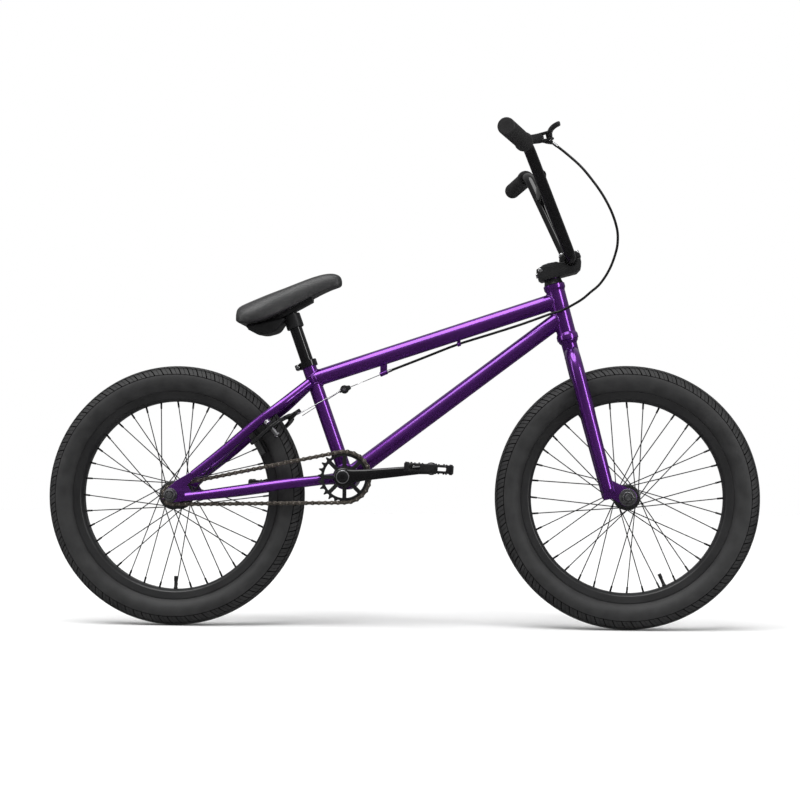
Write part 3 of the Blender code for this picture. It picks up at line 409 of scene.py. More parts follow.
def bent(corners, bends, radius, steps=14):
    """Straight runs between the corners, with an arc of the given bend radius at each inner one."""
    route = [corners[0]]
    for before, corner, after, bend in zip(corners, corners[1:], corners[2:], bends):
        back = (before - corner).normalized()
        ahead = (after - corner).normalized()
        turning = math.pi - back.angle(ahead)
        reach = bend * math.tan(turning / 2)
        handle = reach - bend * math.tan(turning / 4) * 4 / 3
        start, end = corner + back * reach, corner + ahead * reach
        route += interpolate_bezier(
            start, corner + back * handle, corner + ahead * handle, end, steps
        )
    route.append(corners[-1])
    return [(*point, radius) for point in route]


def arc(centre, radius, start, end, steps):
    """Points on an arc between two angles in degrees."""
    angles = [math.radians(start + (end - start) * i / steps) for i in range(steps + 1)]
    return [(centre[0] + radius * math.cos(a), centre[1] + radius * math.sin(a)) for a in angles]


def circle(centre, radius, steps=32):
    return arc(centre, radius, 0, 360, steps)[:-1]


def evaluated_mesh(piece):
    """The mesh that a curve or the modifiers make."""
    bpy.context.view_layer.update()
    graph = bpy.context.evaluated_depsgraph_get()
    return bpy.data.meshes.new_from_object(piece.evaluated_get(graph))


def plate(name, paint, outlines, thickness, place, edge=0.0006):
    """Flat outlines, the first the edge and the others holes, made a plate with softened edges."""
    curve = bpy.data.curves.new(name, "CURVE")
    curve.dimensions = "2D"
    curve.fill_mode = "BOTH"
    curve.extrude = thickness / 2 - edge
    curve.bevel_depth = edge
    curve.offset = -edge
    curve.bevel_resolution = 2
    for outline in outlines:
        spline = curve.splines.new("POLY")
        spline.points.add(len(outline) - 1)
        spline.use_cyclic_u = True
        for point, (x, y) in zip(spline.points, outline):
            point.co = (x, y, 0, 1)
    guide = bpy.data.objects.new(name, curve)
    bpy.context.scene.collection.objects.link(guide)
    work = bmesh.new()
    work.from_mesh(evaluated_mesh(guide))
    bpy.data.objects.remove(guide)
    bmesh.ops.remove_doubles(work, verts=work.verts, dist=0.00002)
    return finished(work, name, paint, place)


def carve(piece, cutter):
    """Cuts the cutter's shape out of the piece."""
    hole = piece.modifiers.new("Carve", "BOOLEAN")
    hole.operation, hole.solver, hole.object = "DIFFERENCE", "EXACT", cutter
    mesh = evaluated_mesh(piece)
    piece.modifiers.clear()
    piece.data = mesh
    mesh.set_sharp_from_angle(angle=math.radians(40))
    bpy.data.objects.remove(cutter)


def fused(name, pieces):
    """Several pieces made one object, each keeping its own material."""
    bpy.ops.object.select_all(action="DESELECT")
    for piece in pieces:
        piece.select_set(True)
    bpy.context.view_layer.objects.active = pieces[0]
    if len(pieces) > 1:
        bpy.ops.object.join()
    result = pieces[0]
    result.name = name
    result.data.name = name
    return result


def bolt(place, radius, height, paint=STEEL, socket=True):
    """A cap screw's head standing on local Z = 0, with or without its round socket."""
    work = bmesh.new()
    profile = [
        (0, 0), (radius, 0), (radius, height * 0.75), (radius * 0.85, height),
        (radius * 0.55, height)
    ]
    profile += [(radius * 0.5, height * 0.4), (0, height * 0.4)] if socket else [(0, height)]
    lathe_into(work, profile, place, 24)
    return finished(work, "bolt", paint, smooth_below=30)


def shown(piece, body, slot, *nodes):
    """The piece rides on the body and stands for these CAD nodes; the slot is not used."""
    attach(piece, body)
    if nodes:
        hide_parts(*nodes)
    return piece


# ---------------------------------------------------------------- frame tubes and their welds

TUBE_RADIUS, SEAT_TUBE_RADIUS, HEAD_TUBE_RADIUS = 0.0165, 0.0143, 0.018
SEATPOST_RADIUS, BAR_RADIUS, STEERER_RADIUS = 0.0127, 0.0111, 0.0143
SHELL_RADIUS, SHELL_HALF = 0.025, 0.034
HEAD_LOW, HEAD_HIGH = 0.3234, 0.4374  # along the steering axis
SEAT_TUBE_TOP = 0.245  # along the seat tube
TOP_TUBE_REAR, TOP_TUBE_FRONT = at(0.2770, 0, 0.4950), at(0.7675, 0, 0.6537)
DOWN_TUBE_FRONT = at(0.7760, 0, 0.6200)
CABLE_STOP, HANGER = at(0.4190, 0, 0.5074), at(0.3400, 0, 0.4749)
WIRE_RUN = (CABLE_STOP - HANGER).normalized()
CABLE_GUIDE = at(0.5700, 0, 0.5658)
GUIDE_RUN = (at(0.5840, 0, 0.5706) - at(0.5560, 0, 0.5610)).normalized()
STAY_Y, PLATE = 0.0585, 0.006
AXLE_BORE = 0.0073  # of what the wheel axles pass through
SEAT_STAY = (  # x, y, z, radius, for the left one
    (0.0443, STAY_Y, 0.3019, 0.008), (0.1079, 0.0530, 0.3526, 0.0095),
    (0.1664, 0.0470, 0.4029, 0.0095), (0.2134, 0.0430, 0.4387, 0.0095),
    (0.2420, 0.0290, 0.4630, 0.0095), (0.2698, 0.0140, 0.4870, 0.0095),
)
CHAIN_STAY = (  # the same
    (0.0300, STAY_Y, 0.2575, 0.0085), (0.1106, 0.0530, 0.2676, 0.0105),
    (0.1877, 0.0480, 0.2787, 0.011), (0.2350, 0.0435, 0.2855, 0.0105),
    (0.2915, 0.0308, 0.2920, 0.0095), (0.3300, 0.0240, 0.2965, 0.0095),
)


def weld_into(work, start, end, radius, point, axis, other_radius, size=0.0021):
    """A rippled bead where the tube from start to end runs into the round tube through point."""
    run, axis = end - start, axis.normalized()
    _, side, other = frames_of([start, end])[0]

    def clearance(spot):
        away = spot - point
        return (away - axis * away.dot(axis)).length - other_radius

    def meeting(offset):
        shares = [i / 80 for i in range(81)]
        depths = [clearance(start + offset + run * share) for share in shares]
        for i in range(80):
            if depths[i] > 0 >= depths[i + 1]:
                low, high = shares[i], shares[i + 1]
                for _ in range(18):
                    half = (low + high) / 2
                    if clearance(start + offset + run * half) > 0:
                        low = half
                    else:
                        high = half
                return low
        return shares[depths.index(min(depths))]

    ripples = round(2 * math.pi * radius / 0.0024)
    count = ripples * 4
    outwards = []
    for i in range(count):
        angle = 2 * math.pi * i / count
        outwards.append(side * math.cos(angle) + other * math.sin(angle))
    path = [start + out * radius + run * meeting(out * radius) for out in outwards]
    rings = []
    for i, (place, out) in enumerate(zip(path, outwards)):
        heading = (path[(i + 1) % count] - path[i - 1]).normalized()
        out = (out - heading * out.dot(heading)).normalized()
        across = heading.cross(out)
        swell = size * (0.82 + 0.28 * abs(math.sin(math.pi * i / 4)))
        ring = []
        for k in range(10):
            angle = 2 * math.pi * k / 10
            ring.append(place + (out * math.cos(angle) * 0.75 + across * math.sin(angle)) * swell)
        rings.append(ring)
    rings_mesh(work, rings, closed=True)


def welds():
    work = bmesh.new()
    head, seat = (STEER_ORIGIN, STEER_UP), (BB, SEAT_UP)
    top_middle, down_middle = (TOP_TUBE_REAR + TOP_TUBE_FRONT) / 2, (BB + DOWN_TUBE_FRONT) / 2
    weld_into(work, top_middle, TOP_TUBE_FRONT, TUBE_RADIUS, *head, 0.0185)
    weld_into(work, top_middle, TOP_TUBE_REAR, TUBE_RADIUS, *seat, SEAT_TUBE_RADIUS)
    weld_into(work, down_middle, DOWN_TUBE_FRONT, TUBE_RADIUS, *head, 0.0185)
    weld_into(work, down_middle, BB, TUBE_RADIUS, BB, ACROSS, SHELL_RADIUS)
    weld_into(work, BB + SEAT_UP * 0.12, BB, SEAT_TUBE_RADIUS, BB, ACROSS, SHELL_RADIUS)
    for _, y in SIDES:
        stay = [at(p[0], p[1] * y, p[2]) for p in CHAIN_STAY[-2:]]
        weld_into(
            work, stay[0], stay[1] + (stay[1] - stay[0]) * 0.4, 0.0095, BB, ACROSS, SHELL_RADIUS,
            0.0017
        )
        stay = [at(p[0], p[1] * y, p[2]) for p in SEAT_STAY[-2:]]
        weld_into(
            work, stay[0], stay[1] + (stay[1] - stay[0]) * 0.4, 0.0095, *seat, SEAT_TUBE_RADIUS,
            0.0017
        )
    shown(finished(work, "frame_welds", CANDY), "frame", "purple_paint")


def straight(start, end, radius):
    """A straight route in short steps, because long thin faces shade in specks."""
    steps = 24
    return [(*(start + (end - start) * i / steps), radius) for i in range(steps + 1)]


def frame_tubes():
    top = tube("top_tube_shell", CANDY, straight(TOP_TUBE_REAR, TOP_TUBE_FRONT, TUBE_RADIUS), 56)
    stop = lathe(
        "stop_barrel", CANDY, edged(-0.008, 0.008, 0.0046, 0.0006, 0.0014),
        along(CABLE_STOP, WIRE_RUN), 24
    )
    web_outline = [(-0.007, 0.001), (0.007, 0.006), (0.007, 0.0185), (-0.007, 0.0165)]
    web = plate("stop_web", CANDY, [web_outline], 0.003, side_plane(CABLE_STOP))
    loop = lathe(
        "guide_loop", CANDY, edged(-0.0035, 0.0035, 0.0046, 0.0006, 0.0030),
        along(CABLE_GUIDE, GUIDE_RUN), 24
    )
    loop_outline = [(-0.0035, 0.0035), (0.0035, 0.0040), (0.0035, 0.0105), (-0.0035, 0.0090)]
    loop_web = plate("guide_web", CANDY, [loop_outline], 0.003, side_plane(CABLE_GUIDE))
    pieces = [top, stop, web, loop, loop_web]
    shown(fused("top_tube_with_stop", pieces), "frame", "purple_paint", "top_tube")
    down = tube("down_tube_shell", CANDY, straight(BB, DOWN_TUBE_FRONT, TUBE_RADIUS), 56)
    shown(down, "frame", "purple_paint", "down_tube")
    bore = SEATPOST_RADIUS + GAP
    seat = lathe(
        "seat_tube_shell", CANDY, edged(0.018, SEAT_TUBE_TOP, SEAT_TUBE_RADIUS, 0.0004, bore),
        along(BB, SEAT_UP), 56
    )
    shown(seat, "frame", "purple_paint", "seat_tube")
    shell = lathe(
        "bottom_bracket_shell", CANDY, edged(-SHELL_HALF, SHELL_HALF, SHELL_RADIUS, 0.001, 0.0209),
        along(BB, ACROSS), 64
    )
    shown(shell, "frame", "purple_paint", "bb_shell")
    flare = [
        (0.0189, HEAD_LOW), (0.0209, HEAD_LOW), (0.0215, HEAD_LOW + 0.0006), (0.0215, 0.3325),
        (0.0212, 0.3335), (0.0192, 0.3375), (0.0183, 0.3400), (HEAD_TUBE_RADIUS, 0.3425)
    ]
    top_flare = [
        (HEAD_TUBE_RADIUS, 0.4195), (0.0183, 0.4220), (0.0192, 0.4245), (0.0212, 0.4285),
        (0.0215, 0.4295), (0.0215, HEAD_HIGH - 0.0006), (0.0209, HEAD_HIGH), (0.0189, HEAD_HIGH)
    ]
    head = lathe("head_tube_shell", CANDY, flare + top_flare, along(STEER_ORIGIN, STEER_UP), 64)
    shown(head, "frame", "purple_paint", "head_tube")


def stays():
    lower = (
        (6.6, -14.0), (37.0, -10.7), (51.0, -5.5), (50.0, 4.5), (41.0, 8.2), (33.0, 20.6),
        (55.1, 43.3)
    )
    upper = ((48.9, 51.1), (10.7, 28.9), (-10.7, 9.1))
    outline = [(x / 1000, y / 1000) for x, y in lower + upper]
    outline += [(-0.012, AXLE_BORE)] + arc((0, 0), AXLE_BORE, 90, -90, 20) + [(-0.012, -AXLE_BORE)]
    outline += arc((0, 0), 0.014, 211.4, 290, 10)
    for side, y in SIDES:
        for kind, stations in (("seatstay", SEAT_STAY), ("chainstay", CHAIN_STAY)):
            route = smooth([(*at(p[0], p[1] * y, p[2]), p[3]) for p in stations], 0.007)
            stay = tube(f"{kind}_{side}_tube", CANDY, route, 40)
            if kind == "seatstay":
                start = brake_place(y * BRAKE_PIVOT_Y, BRAKE_PIVOT, 0.004)
                post = lathe(
                    "post", STEEL, edged(0, 0.0325, 0.005, 0.0006), along(start, BRAKE_OUT), 24
                )
                root = lathe(
                    "root", CANDY, edged(-0.004, 0.009, 0.0072, 0.001), along(start, BRAKE_OUT), 24
                )
                stay = fused(f"{kind}_{side}_tube", [stay, post, root])
            shown(stay, "frame", "purple_paint", f"{kind}_{side}")
        end = plate(
            f"dropout_{side}_plate", CANDY, [outline], PLATE,
            side_plane(at(0, y * STAY_Y, REAR_AXLE.z)), 0.0007
        )
        shown(end, "frame", "purple_paint", f"dropout_{side}")
        bearing = lathe(
            f"bb_bearing_{side}_rings", STEEL,
            [
                (0.0098, 0.0263 * y), (0.0098, 0.0332 * y), (0.0125, 0.0335 * y),
                (0.0130, 0.0328 * y), (0.0175, 0.0328 * y), (0.0180, 0.0335 * y),
                (0.0206, 0.0335 * y), (0.0206, 0.0263 * y),
            ],
            along(BB, ACROSS)
        )
        shown(bearing, "frame", "bright_steel", f"bb_bearing_{side}")
    tab = [
        (-0.013, -0.0032), (0.013, -0.0032), (0.0145, 0), (0.013, 0.0032), (-0.013, 0.0032),
        (-0.0145, 0)
    ]
    place = axes(at(0.0545, STAY_Y - PLATE / 2 - 0.0016, REAR_AXLE.z - 0.001), turn(-8), turn(82))
    shown(plate("dropout_tab", BRASS, [tab], 0.0024, place), "frame", "bright_steel")


def seat_clamp():
    height, lip = 0.013, 0.002
    base = SEAT_TUBE_TOP - height + lip + 0.0003
    place = along(BB + SEAT_UP * base, SEAT_UP)
    bore, post_bore = SEAT_TUBE_RADIUS + GAP, SEATPOST_RADIUS + GAP
    collar = lathe(
        "collar", GLOSS,
        [
            (bore, 0), (0.0179, 0), (0.0185, 0.0006), (0.0185, height - 0.0006), (0.0179, height),
            (post_bore, height), (post_bore, height - lip), (bore, height - lip),
        ],
        place, 56
    )
    back = BB + SEAT_UP * (base + height / 2) + SEAT_UP.cross(ACROSS).normalized() * 0.0215
    pieces = [collar]
    for y in (1, -1):
        spot = back + ACROSS * (y * 0.0057)
        size = (0.010, 0.0085, 0.011)
        pieces.append(rounded_block("ear", GLOSS, size, along(spot, SEAT_UP), 0.002))
    pieces.append(bolt(along(back - ACROSS * 0.0098, -ACROSS), 0.0036, 0.0016))
    pieces.append(bolt(along(back + ACROSS * 0.0098, ACROSS), 0.0028, 0.0012, socket=False))
    shown(fused("seat_clamp_and_bolt", pieces), "frame", "black_gloss", "seat_clamp")


def rounded_block(name, paint, size, place, radius, segments=4):
    """A block with rounded edges."""
    work = bmesh.new()
    bmesh.ops.create_cube(work, size=1)
    bmesh.ops.scale(work, vec=size, verts=work.verts)
    bmesh.ops.bevel(
        work, geom=work.edges[:], offset=radius, segments=segments, profile=0.5, affect="EDGES"
    )
    return finished(work, name, paint, place, smooth_below=35)


# ---------------------------------------------------------------- fork, headset, stem and handlebar

FORK_LEG = (  # along the steering axis, out from the middle, radius
    (-0.003, 0.0555, 0.012), (0.055, 0.0548, 0.0125), (0.125, 0.0520, 0.0135), (0.195, 0.0482, 0.0145),
    (0.235, 0.0465, 0.0148), (0.262, 0.0430, 0.0148), (0.281, 0.0350, 0.0148), (0.2915, 0.0220, 0.0148),
    (0.2945, 0.0090, 0.0148),
)
BAR_ALONG, BAR_FORWARD, STEM_HALF = 0.475, 0.0438, 0.025
BAR_BEND_Y, CROSSBAR_RADIUS = 0.0582, 0.0095
GRIP_INNER, GRIP_OUTER = Vector((0.7019, 0.2046, 0.9331)), Vector((0.6703, 0.3575, 0.9331))


def fork():
    legs = [(*steer(s, 0, -y), radius) for s, y, radius in FORK_LEG]
    legs += [(*steer(s, 0, y), radius) for s, y, radius in reversed(FORK_LEG)]
    legs_work = bmesh.new()
    tube_into(legs_work, smooth(legs, 0.008), 48)
    for _, y in SIDES:
        slant = (STEER_UP * -1 + ACROSS * y * 1.15).normalized()
        cut = bmesh.ops.bisect_plane(
            legs_work, geom=legs_work.verts[:] + legs_work.edges[:] + legs_work.faces[:],
            plane_co=steer(0.0035, 0, y * 0.0555), plane_no=slant, clear_outer=True,
        )
        rim_edges = [item for item in cut["geom_cut"] if isinstance(item, bmesh.types.BMEdge)]
        bmesh.ops.edgeloop_fill(legs_work, edges=rim_edges)
    pieces = [finished(legs_work, "legs", CANDY)]
    crown = [
        (0, 0.285), (0.0156, 0.285), (0.0157, 0.314), (0.0163, 0.3165), (0.0189, 0.3195),
        (0.0195, 0.3210), (0.0195, HEAD_LOW - 0.0008), (0.0190, HEAD_LOW - 0.0004),
        (STEERER_RADIUS, HEAD_LOW - 0.0004), (STEERER_RADIUS, 0.473), (0, 0.473),
    ]
    pieces.append(lathe("steerer", CANDY, crown, along(STEER_ORIGIN, STEER_UP), 56))
    outline = arc((0, 0), 0.018, -66, 75, 16)
    outline += [(-0.0207, 0.0397), (-0.032, 0.044), (-0.032, 0.010), (-0.0226, -0.003)]
    outline += arc((0, 0), 0.018, 200, 246, 6) + arc((0, 0), AXLE_BORE, 180, 0, 20)
    work = bmesh.new()
    for _, y in SIDES:
        place = axes(steer(-0.0086, 0.0332, y * 0.0525), STEER_FORWARD, STEER_UP)
        pieces.append(plate("fork_end", CANDY, [outline], 0.005, place, 0.0007))
    weld_into(
        work, steer(0.262, 0), steer(0.33, 0), 0.0146, steer(0.2925, 0), ACROSS, 0.0150, 0.0018
    )
    pieces.append(finished(work, "crown_weld", CANDY))
    shown(fused("fork_and_steerer", pieces), "steering", "purple_paint", "fork")


def headset():
    for kind, low in (("lower", HEAD_LOW + 0.001), ("upper", HEAD_HIGH - 0.0075)):
        ring = lathe(
            f"headset_{kind}_race", STEEL,
            edged(low, low + 0.0065, 0.0186, 0.0005, STEERER_RADIUS + GAP),
            along(STEER_ORIGIN, STEER_UP)
        )
        shown(ring, "frame", "bright_steel", f"headset_bearing_{kind}")
    bore = STEERER_RADIUS + GAP
    cap = lathe(
        "headset_cone_cap", SATIN,
        [
            (bore, HEAD_HIGH + 0.0004), (0.0190, HEAD_HIGH + 0.0004), (0.0193, HEAD_HIGH + 0.0012),
            (0.0186, HEAD_HIGH + 0.003), (0.0170, 0.4462), (0.0166, 0.4478), (0.0163, 0.4481),
            (bore, 0.4481),
        ],
        along(STEER_ORIGIN, STEER_UP), 56
    )
    shown(cap, "steering", "black_satin", "headset_dust_cap")


def rounded_outline(corners, radius, steps=6):
    """The outline with each corner turned into a small arc."""
    result = []
    for before, here, after in zip(corners[-1:] + corners[:-1], corners, corners[1:] + corners[:1]):
        spot = Vector(here)
        back, ahead = Vector(before) - spot, Vector(after) - spot
        reach = min(radius, back.length * 0.45, ahead.length * 0.45)
        start, end = spot + back.normalized() * reach, spot + ahead.normalized() * reach
        for i in range(steps + 1):
            share = i / steps
            point = start * (1 - share) ** 2 + spot * 2 * share * (1 - share) + end * share ** 2
            result.append((point.x, point.y))
    return result


def stem():
    bore = BAR_RADIUS + GAP
    split = 0.0003
    place = axes(STEER_ORIGIN, STEER_FORWARD, STEER_UP)
    bar = (BAR_FORWARD, BAR_ALONG)
    edge = math.degrees(math.asin(split / bore))
    body = rounded_outline(
        [
            (0.0225, BAR_ALONG - split), (0.015, 0.479), (-0.010, 0.479), (-0.027, 0.473),
            (-0.027, 0.4535), (-0.022, 0.4488), (0.050, 0.4488), (0.0600, 0.455), (0.0635, 0.466),
            (0.0635, BAR_ALONG - split),
        ],
        0.0014
    )
    body += arc(bar, bore, -edge, -180 + edge, 30)
    clamp = plate("stem_clamp_block", SATIN, [body], 2 * STEM_HALF, place, 0.0014)
    pieces = [clamp]
    for _, y in SIDES:
        spot = steer(0.4635, -0.0275, y * 0.0115)
        pieces.append(bolt(along(spot, -STEER_FORWARD), 0.0042, 0.0022))
        side_spot = steer(0.4695, -0.0195, y * (STEM_HALF - 0.0004))
        pieces.append(bolt(along(side_spot, ACROSS * y), 0.0040, 0.0016))
    pieces.append(
        lathe(
            "top_cap", SATIN,
            [(0, 0.0018), (0.0135, 0.0018), (0.0148, 0.0008), (0.0150, -0.001), (0, -0.001)],
            along(steer(0.479, 0), STEER_UP)
        )
    )
    pieces.append(bolt(along(steer(0.4806, 0), STEER_UP), 0.0046, 0.0016, DARK_BOLT))
    shown(fused("stem_block_with_bolts", pieces), "steering", "black_satin", "stem_body")
    lid = arc(bar, bore, 180 - edge, edge, 30)
    lid += rounded_outline(
        [
            (0.0655, BAR_ALONG + split), (0.0645, 0.484), (0.054, 0.4905), (0.033, 0.4905),
            (0.0230, 0.485), (0.0225, BAR_ALONG + split),
        ],
        0.0014
    )
    lids = [plate("lid", SATIN, [lid], 2 * STEM_HALF, place, 0.0014)]
    for forward in (0.0285, 0.0592):
        for _, y in SIDES:
            spot = steer(0.4885 if forward < 0.05 else 0.4868, forward, y * 0.0165)
            lids.append(bolt(along(spot, STEER_UP), 0.0046, 0.0040))
    shown(fused("stem_lid_with_bolts", lids), "steering", "black_satin", "stem_cap")


def handlebar():
    run = (GRIP_OUTER - GRIP_INNER) / (GRIP_OUTER.y - GRIP_INNER.y)
    end, upper = GRIP_OUTER - run * 0.0035, GRIP_INNER - run * 0.0293
    half = [at(*end), at(*upper), steer(BAR_ALONG, BAR_FORWARD, BAR_BEND_Y)]
    mirror = [Vector((point.x, -point.y, point.z)) for point in half]
    route = bent(half + mirror[::-1], (0.038, 0.045, 0.045, 0.038), BAR_RADIUS)
    bar = tube("bar", GLOSS, route, 48)
    left, right = at(0.7332, 0.1447, 0.8805), at(0.7332, -0.1447, 0.8805)
    cross = tube("cross", GLOSS, [(*left, CROSSBAR_RADIUS), (*right, CROSSBAR_RADIUS)], 40)
    work = bmesh.new()
    for y in (1, -1):
        top, low = at(upper.x, y * upper.y, upper.z), steer(BAR_ALONG, BAR_FORWARD, y * BAR_BEND_Y)
        near, far = at(0.7332, y * 0.10, 0.8805), at(0.7332, y * 0.1447, 0.8805)
        weld_into(work, near, far, CROSSBAR_RADIUS, low, top - low, BAR_RADIUS, 0.0016)
    beads = finished(work, "beads", GLOSS)
    shown(
        fused("handlebar_with_crossbar", [bar, cross, beads]), "steering", "black_gloss",
        "handlebar"
    )


def grips():
    bore = BAR_RADIUS + GAP
    for side, y in SIDES:
        inner, outer = [at(end.x, y * end.y, end.z) for end in (GRIP_INNER, GRIP_OUTER)]
        length = (outer - inner).length
        profile = [
            (bore, 0), (0.0172, 0), (0.0185, 0.0012), (0.0185, 0.0030), (0.0172, 0.0042),
            (0.0150, 0.0052)
        ]
        ridges = 26
        start, pitch = 0.008, (length - 0.014) / ridges
        for i in range(ridges):
            base = start + i * pitch
            profile += [
                (0.0150, base), (0.0163, base + pitch * 0.22), (0.0165, base + pitch * 0.40)
            ]
            profile += [(0.0163, base + pitch * 0.58), (0.0150, base + pitch * 0.80)]
        profile += [
            (0.0158, length - 0.0055), (0.0165, length - 0.0042), (0.0162, length - 0.0015),
            (0.0146, length)
        ]
        profile += [(0, length), (0, length - 0.003), (bore, length - 0.003)]
        place = along(inner, outer - inner)
        rubber = lathe(f"grip_{side}_rubber", GRIP, profile, place, closed=True)
        shown(rubber, "steering", "grip_rubber", f"grip_{side}")


# ---------------------------------------------------------------- wheels

TYRE_MIDDLE, TYRE_HEIGHT, TYRE_HALF_WIDTH = 0.2325, 0.0285, 0.0295
BLOCKS = 86  # round the tyre
CROSS_DEPTH, FULL_SHADE_DEPTH = 0.0020, 0.0014  # of a cross groove, and the depth where the painted groove shade is full
GROOVES = (  # first and last angle round the section, depth
    (19.8, 23.2, 0.0012), (53.0, 57.2, 0.0018), (88.3, 91.7, 0.0014), (122.8, 127.0, 0.0018),
    (156.8, 160.2, 0.0012)
)
TREAD_PHASES = (  # share of a block's pitch, share of the cross groove's depth
    (0.0, 0.0), (0.22, 0.0), (0.42, 0.0), (0.435, 0.45), (0.475, 0.45), (0.49, 0.0), (0.68, 0.0),
    (0.865, 0.0), (0.880, 1.0), (0.985, 1.0)
)


def tread_section():
    """Angles round the tyre's section, and each one's depth in a groove along the tyre."""
    points = [(t, 0.0) for t in (-55, -47, -40, -30, -20, -10, 0, 8, 15)]
    for start, end, depth in GROOVES:
        points += [(start, 0.0), (start + 0.5, depth), (end - 0.5, depth), (end, 0.0)]
    points += [(t, 0.0) for t in (31, 38, 46, 65, 73, 81, 99, 107, 115, 134, 142, 149)]
    points += [(t, 0.0) for t in (165, 172, 180, 190, 200, 210, 220, 227, 235)]
    return sorted(points)


def tyre(wheel, axle):
    section = tread_section()
    inside = [(0.2075, -0.0142), (0.2030, -0.0136), (0.2030, 0.0136), (0.2075, 0.0142)]
    pitch = 2 * math.pi / BLOCKS
    place = along(axle, ACROSS)
    rings, depths = [], []
    for block in range(BLOCKS):
        for phase, groove in TREAD_PHASES:
            ring = []
            for angle, sunk in section:
                across = abs(angle - 90) / 33
                depth = sunk
                if 20.0 < angle < 160.0:
                    depth = max(depth, groove * CROSS_DEPTH)
                # How much painted groove shade this point takes: none on the tread's top, full in a deep
                # groove.
                depths.append(min(1.0, depth / FULL_SHADE_DEPTH))
                skew = 0.75 * min(across, 1) + 0.45 * max(0, across - 1)
                turned = (block + phase + skew) * pitch
                bend = math.radians(angle)
                radius = TYRE_MIDDLE + (TYRE_HEIGHT - depth) * math.sin(bend)
                height = (TYRE_HALF_WIDTH - depth) * math.cos(bend)
                ring.append(place @ polar(radius, turned, height))
            turned = (block + phase + 0.7) * pitch
            for radius, height in inside:
                ring.append(place @ polar(radius, turned, height))
                depths.append(0.0)
            rings.append(ring)
    work = bmesh.new()
    rings_mesh(work, rings, closed=True)
    # The layer carries the painted groove shade to the tyre's material.
    groove_shade = work.verts.layers.float.new("groove")
    for vertex, depth in zip(work.verts, depths):
        vertex[groove_shade] = depth
    piece = finished(work, f"{wheel}_tyre_with_tread", RUBBER, smooth_below=30)
    shown(piece, f"{wheel}_wheel", "tyre_rubber", f"{wheel}_tyre")
    torus = []
    for i in range(24):
        bend = 2 * math.pi * i / 24
        torus.append((0.2300 + 0.0215 * math.sin(bend), 0.0190 * math.cos(bend)))
    core = lathe(f"{wheel}_inner_tube_ring", RUBBER, torus, place, 72)
    shown(core, f"{wheel}_wheel", "butyl_rubber", f"{wheel}_inner_tube")


def rim(wheel, axle, valve_angle):
    half = [
        (0.1889, 0.0), (0.1890, 0.0088), (0.1894, 0.0100), (0.1935, 0.0157), (0.1945, 0.0164),
        (0.1958, 0.0168), (0.2070, 0.0178), (0.2078, 0.0180), (0.2086, 0.0178), (0.2087, 0.0170),
        (0.2080, 0.0163), (0.1996, 0.0157), (0.1975, 0.0140), (0.1962, 0.0080), (0.1962, 0.0),
    ]
    ring = lathe(f"{wheel}_rim_extrusion", RIM_BLACK, both_sides(half), along(axle, ACROSS), 144)
    shown(ring, f"{wheel}_wheel", "black_satin", f"{wheel}_rim")
    inwards = -turn(valve_angle)
    base = axle - inwards * 0.1895
    stem = [
        (0, 0), (0.0042, 0), (0.0042, 0.0030), (0.0034, 0.0040), (0.0030, 0.0160), (0.0036, 0.0165),
        (0.0036, 0.0255), (0.0030, 0.0262), (0, 0.0262),
    ]
    shown(
        lathe(f"{wheel}_valve_stem", PLASTIC, stem, along(base, inwards), 24), f"{wheel}_wheel",
        "butyl_rubber"
    )


def spokes(wheel, axle, flanges):
    """36 crossed spokes, each from a head on the hub's flange to a nipple in the rim."""
    work, nuts = bmesh.new(), bmesh.new()
    reach, cross = 0.1915, math.radians(60)
    for k in range(36):
        side = 1 if k % 2 else -1
        radius, height = flanges[side]
        outside = 1 if (k // 2) % 2 else -1
        at_rim = 2 * math.pi * k / 36
        at_hub = at_rim + cross * outside
        step = 0.0016 * outside
        start = axle + Vector(
            (radius * math.cos(at_hub), side * height + step, radius * math.sin(at_hub))
        )
        end = axle + Vector((reach * math.cos(at_rim), side * 0.0018, reach * math.sin(at_rim)))
        run = (end - start).normalized()
        through = start - ACROSS * 2 * step
        tube_into(
            work,
            [
                (*(through - ACROSS * step * 0.2), 0.0017), (*through, 0.0017),
                (*(through + ACROSS * step * 0.2), 0.00105), (*start, 0.00105),
                (*(start + run * 0.002), 0.00105), (*end, 0.00105)
            ],
            10
        )
        base = end - run * 0.0148
        stations = [
            (base, 0.0013), (base + run * 0.0004, 0.0019), (base + run * 0.0118, 0.0020),
            (base + run * 0.0125, 0.0030), (base + run * 0.0148, 0.0031)
        ]
        tube_into(nuts, [(*point, width) for point, width in stations], 12)
    wires = finished(work, "wires", SPOKE)
    nipples = finished(nuts, "nipples", GLOSS)
    shown(fused(f"{wheel}_spokes", [wires, nipples]), f"{wheel}_wheel", "black_satin")


def hub_shell(wheel, axle, profile):
    shell = lathe(f"{wheel}_hub_shell", SATIN, profile, along(axle, ACROSS), 72)
    shown(shell, f"{wheel}_wheel", "black_satin", f"{wheel}_hub")


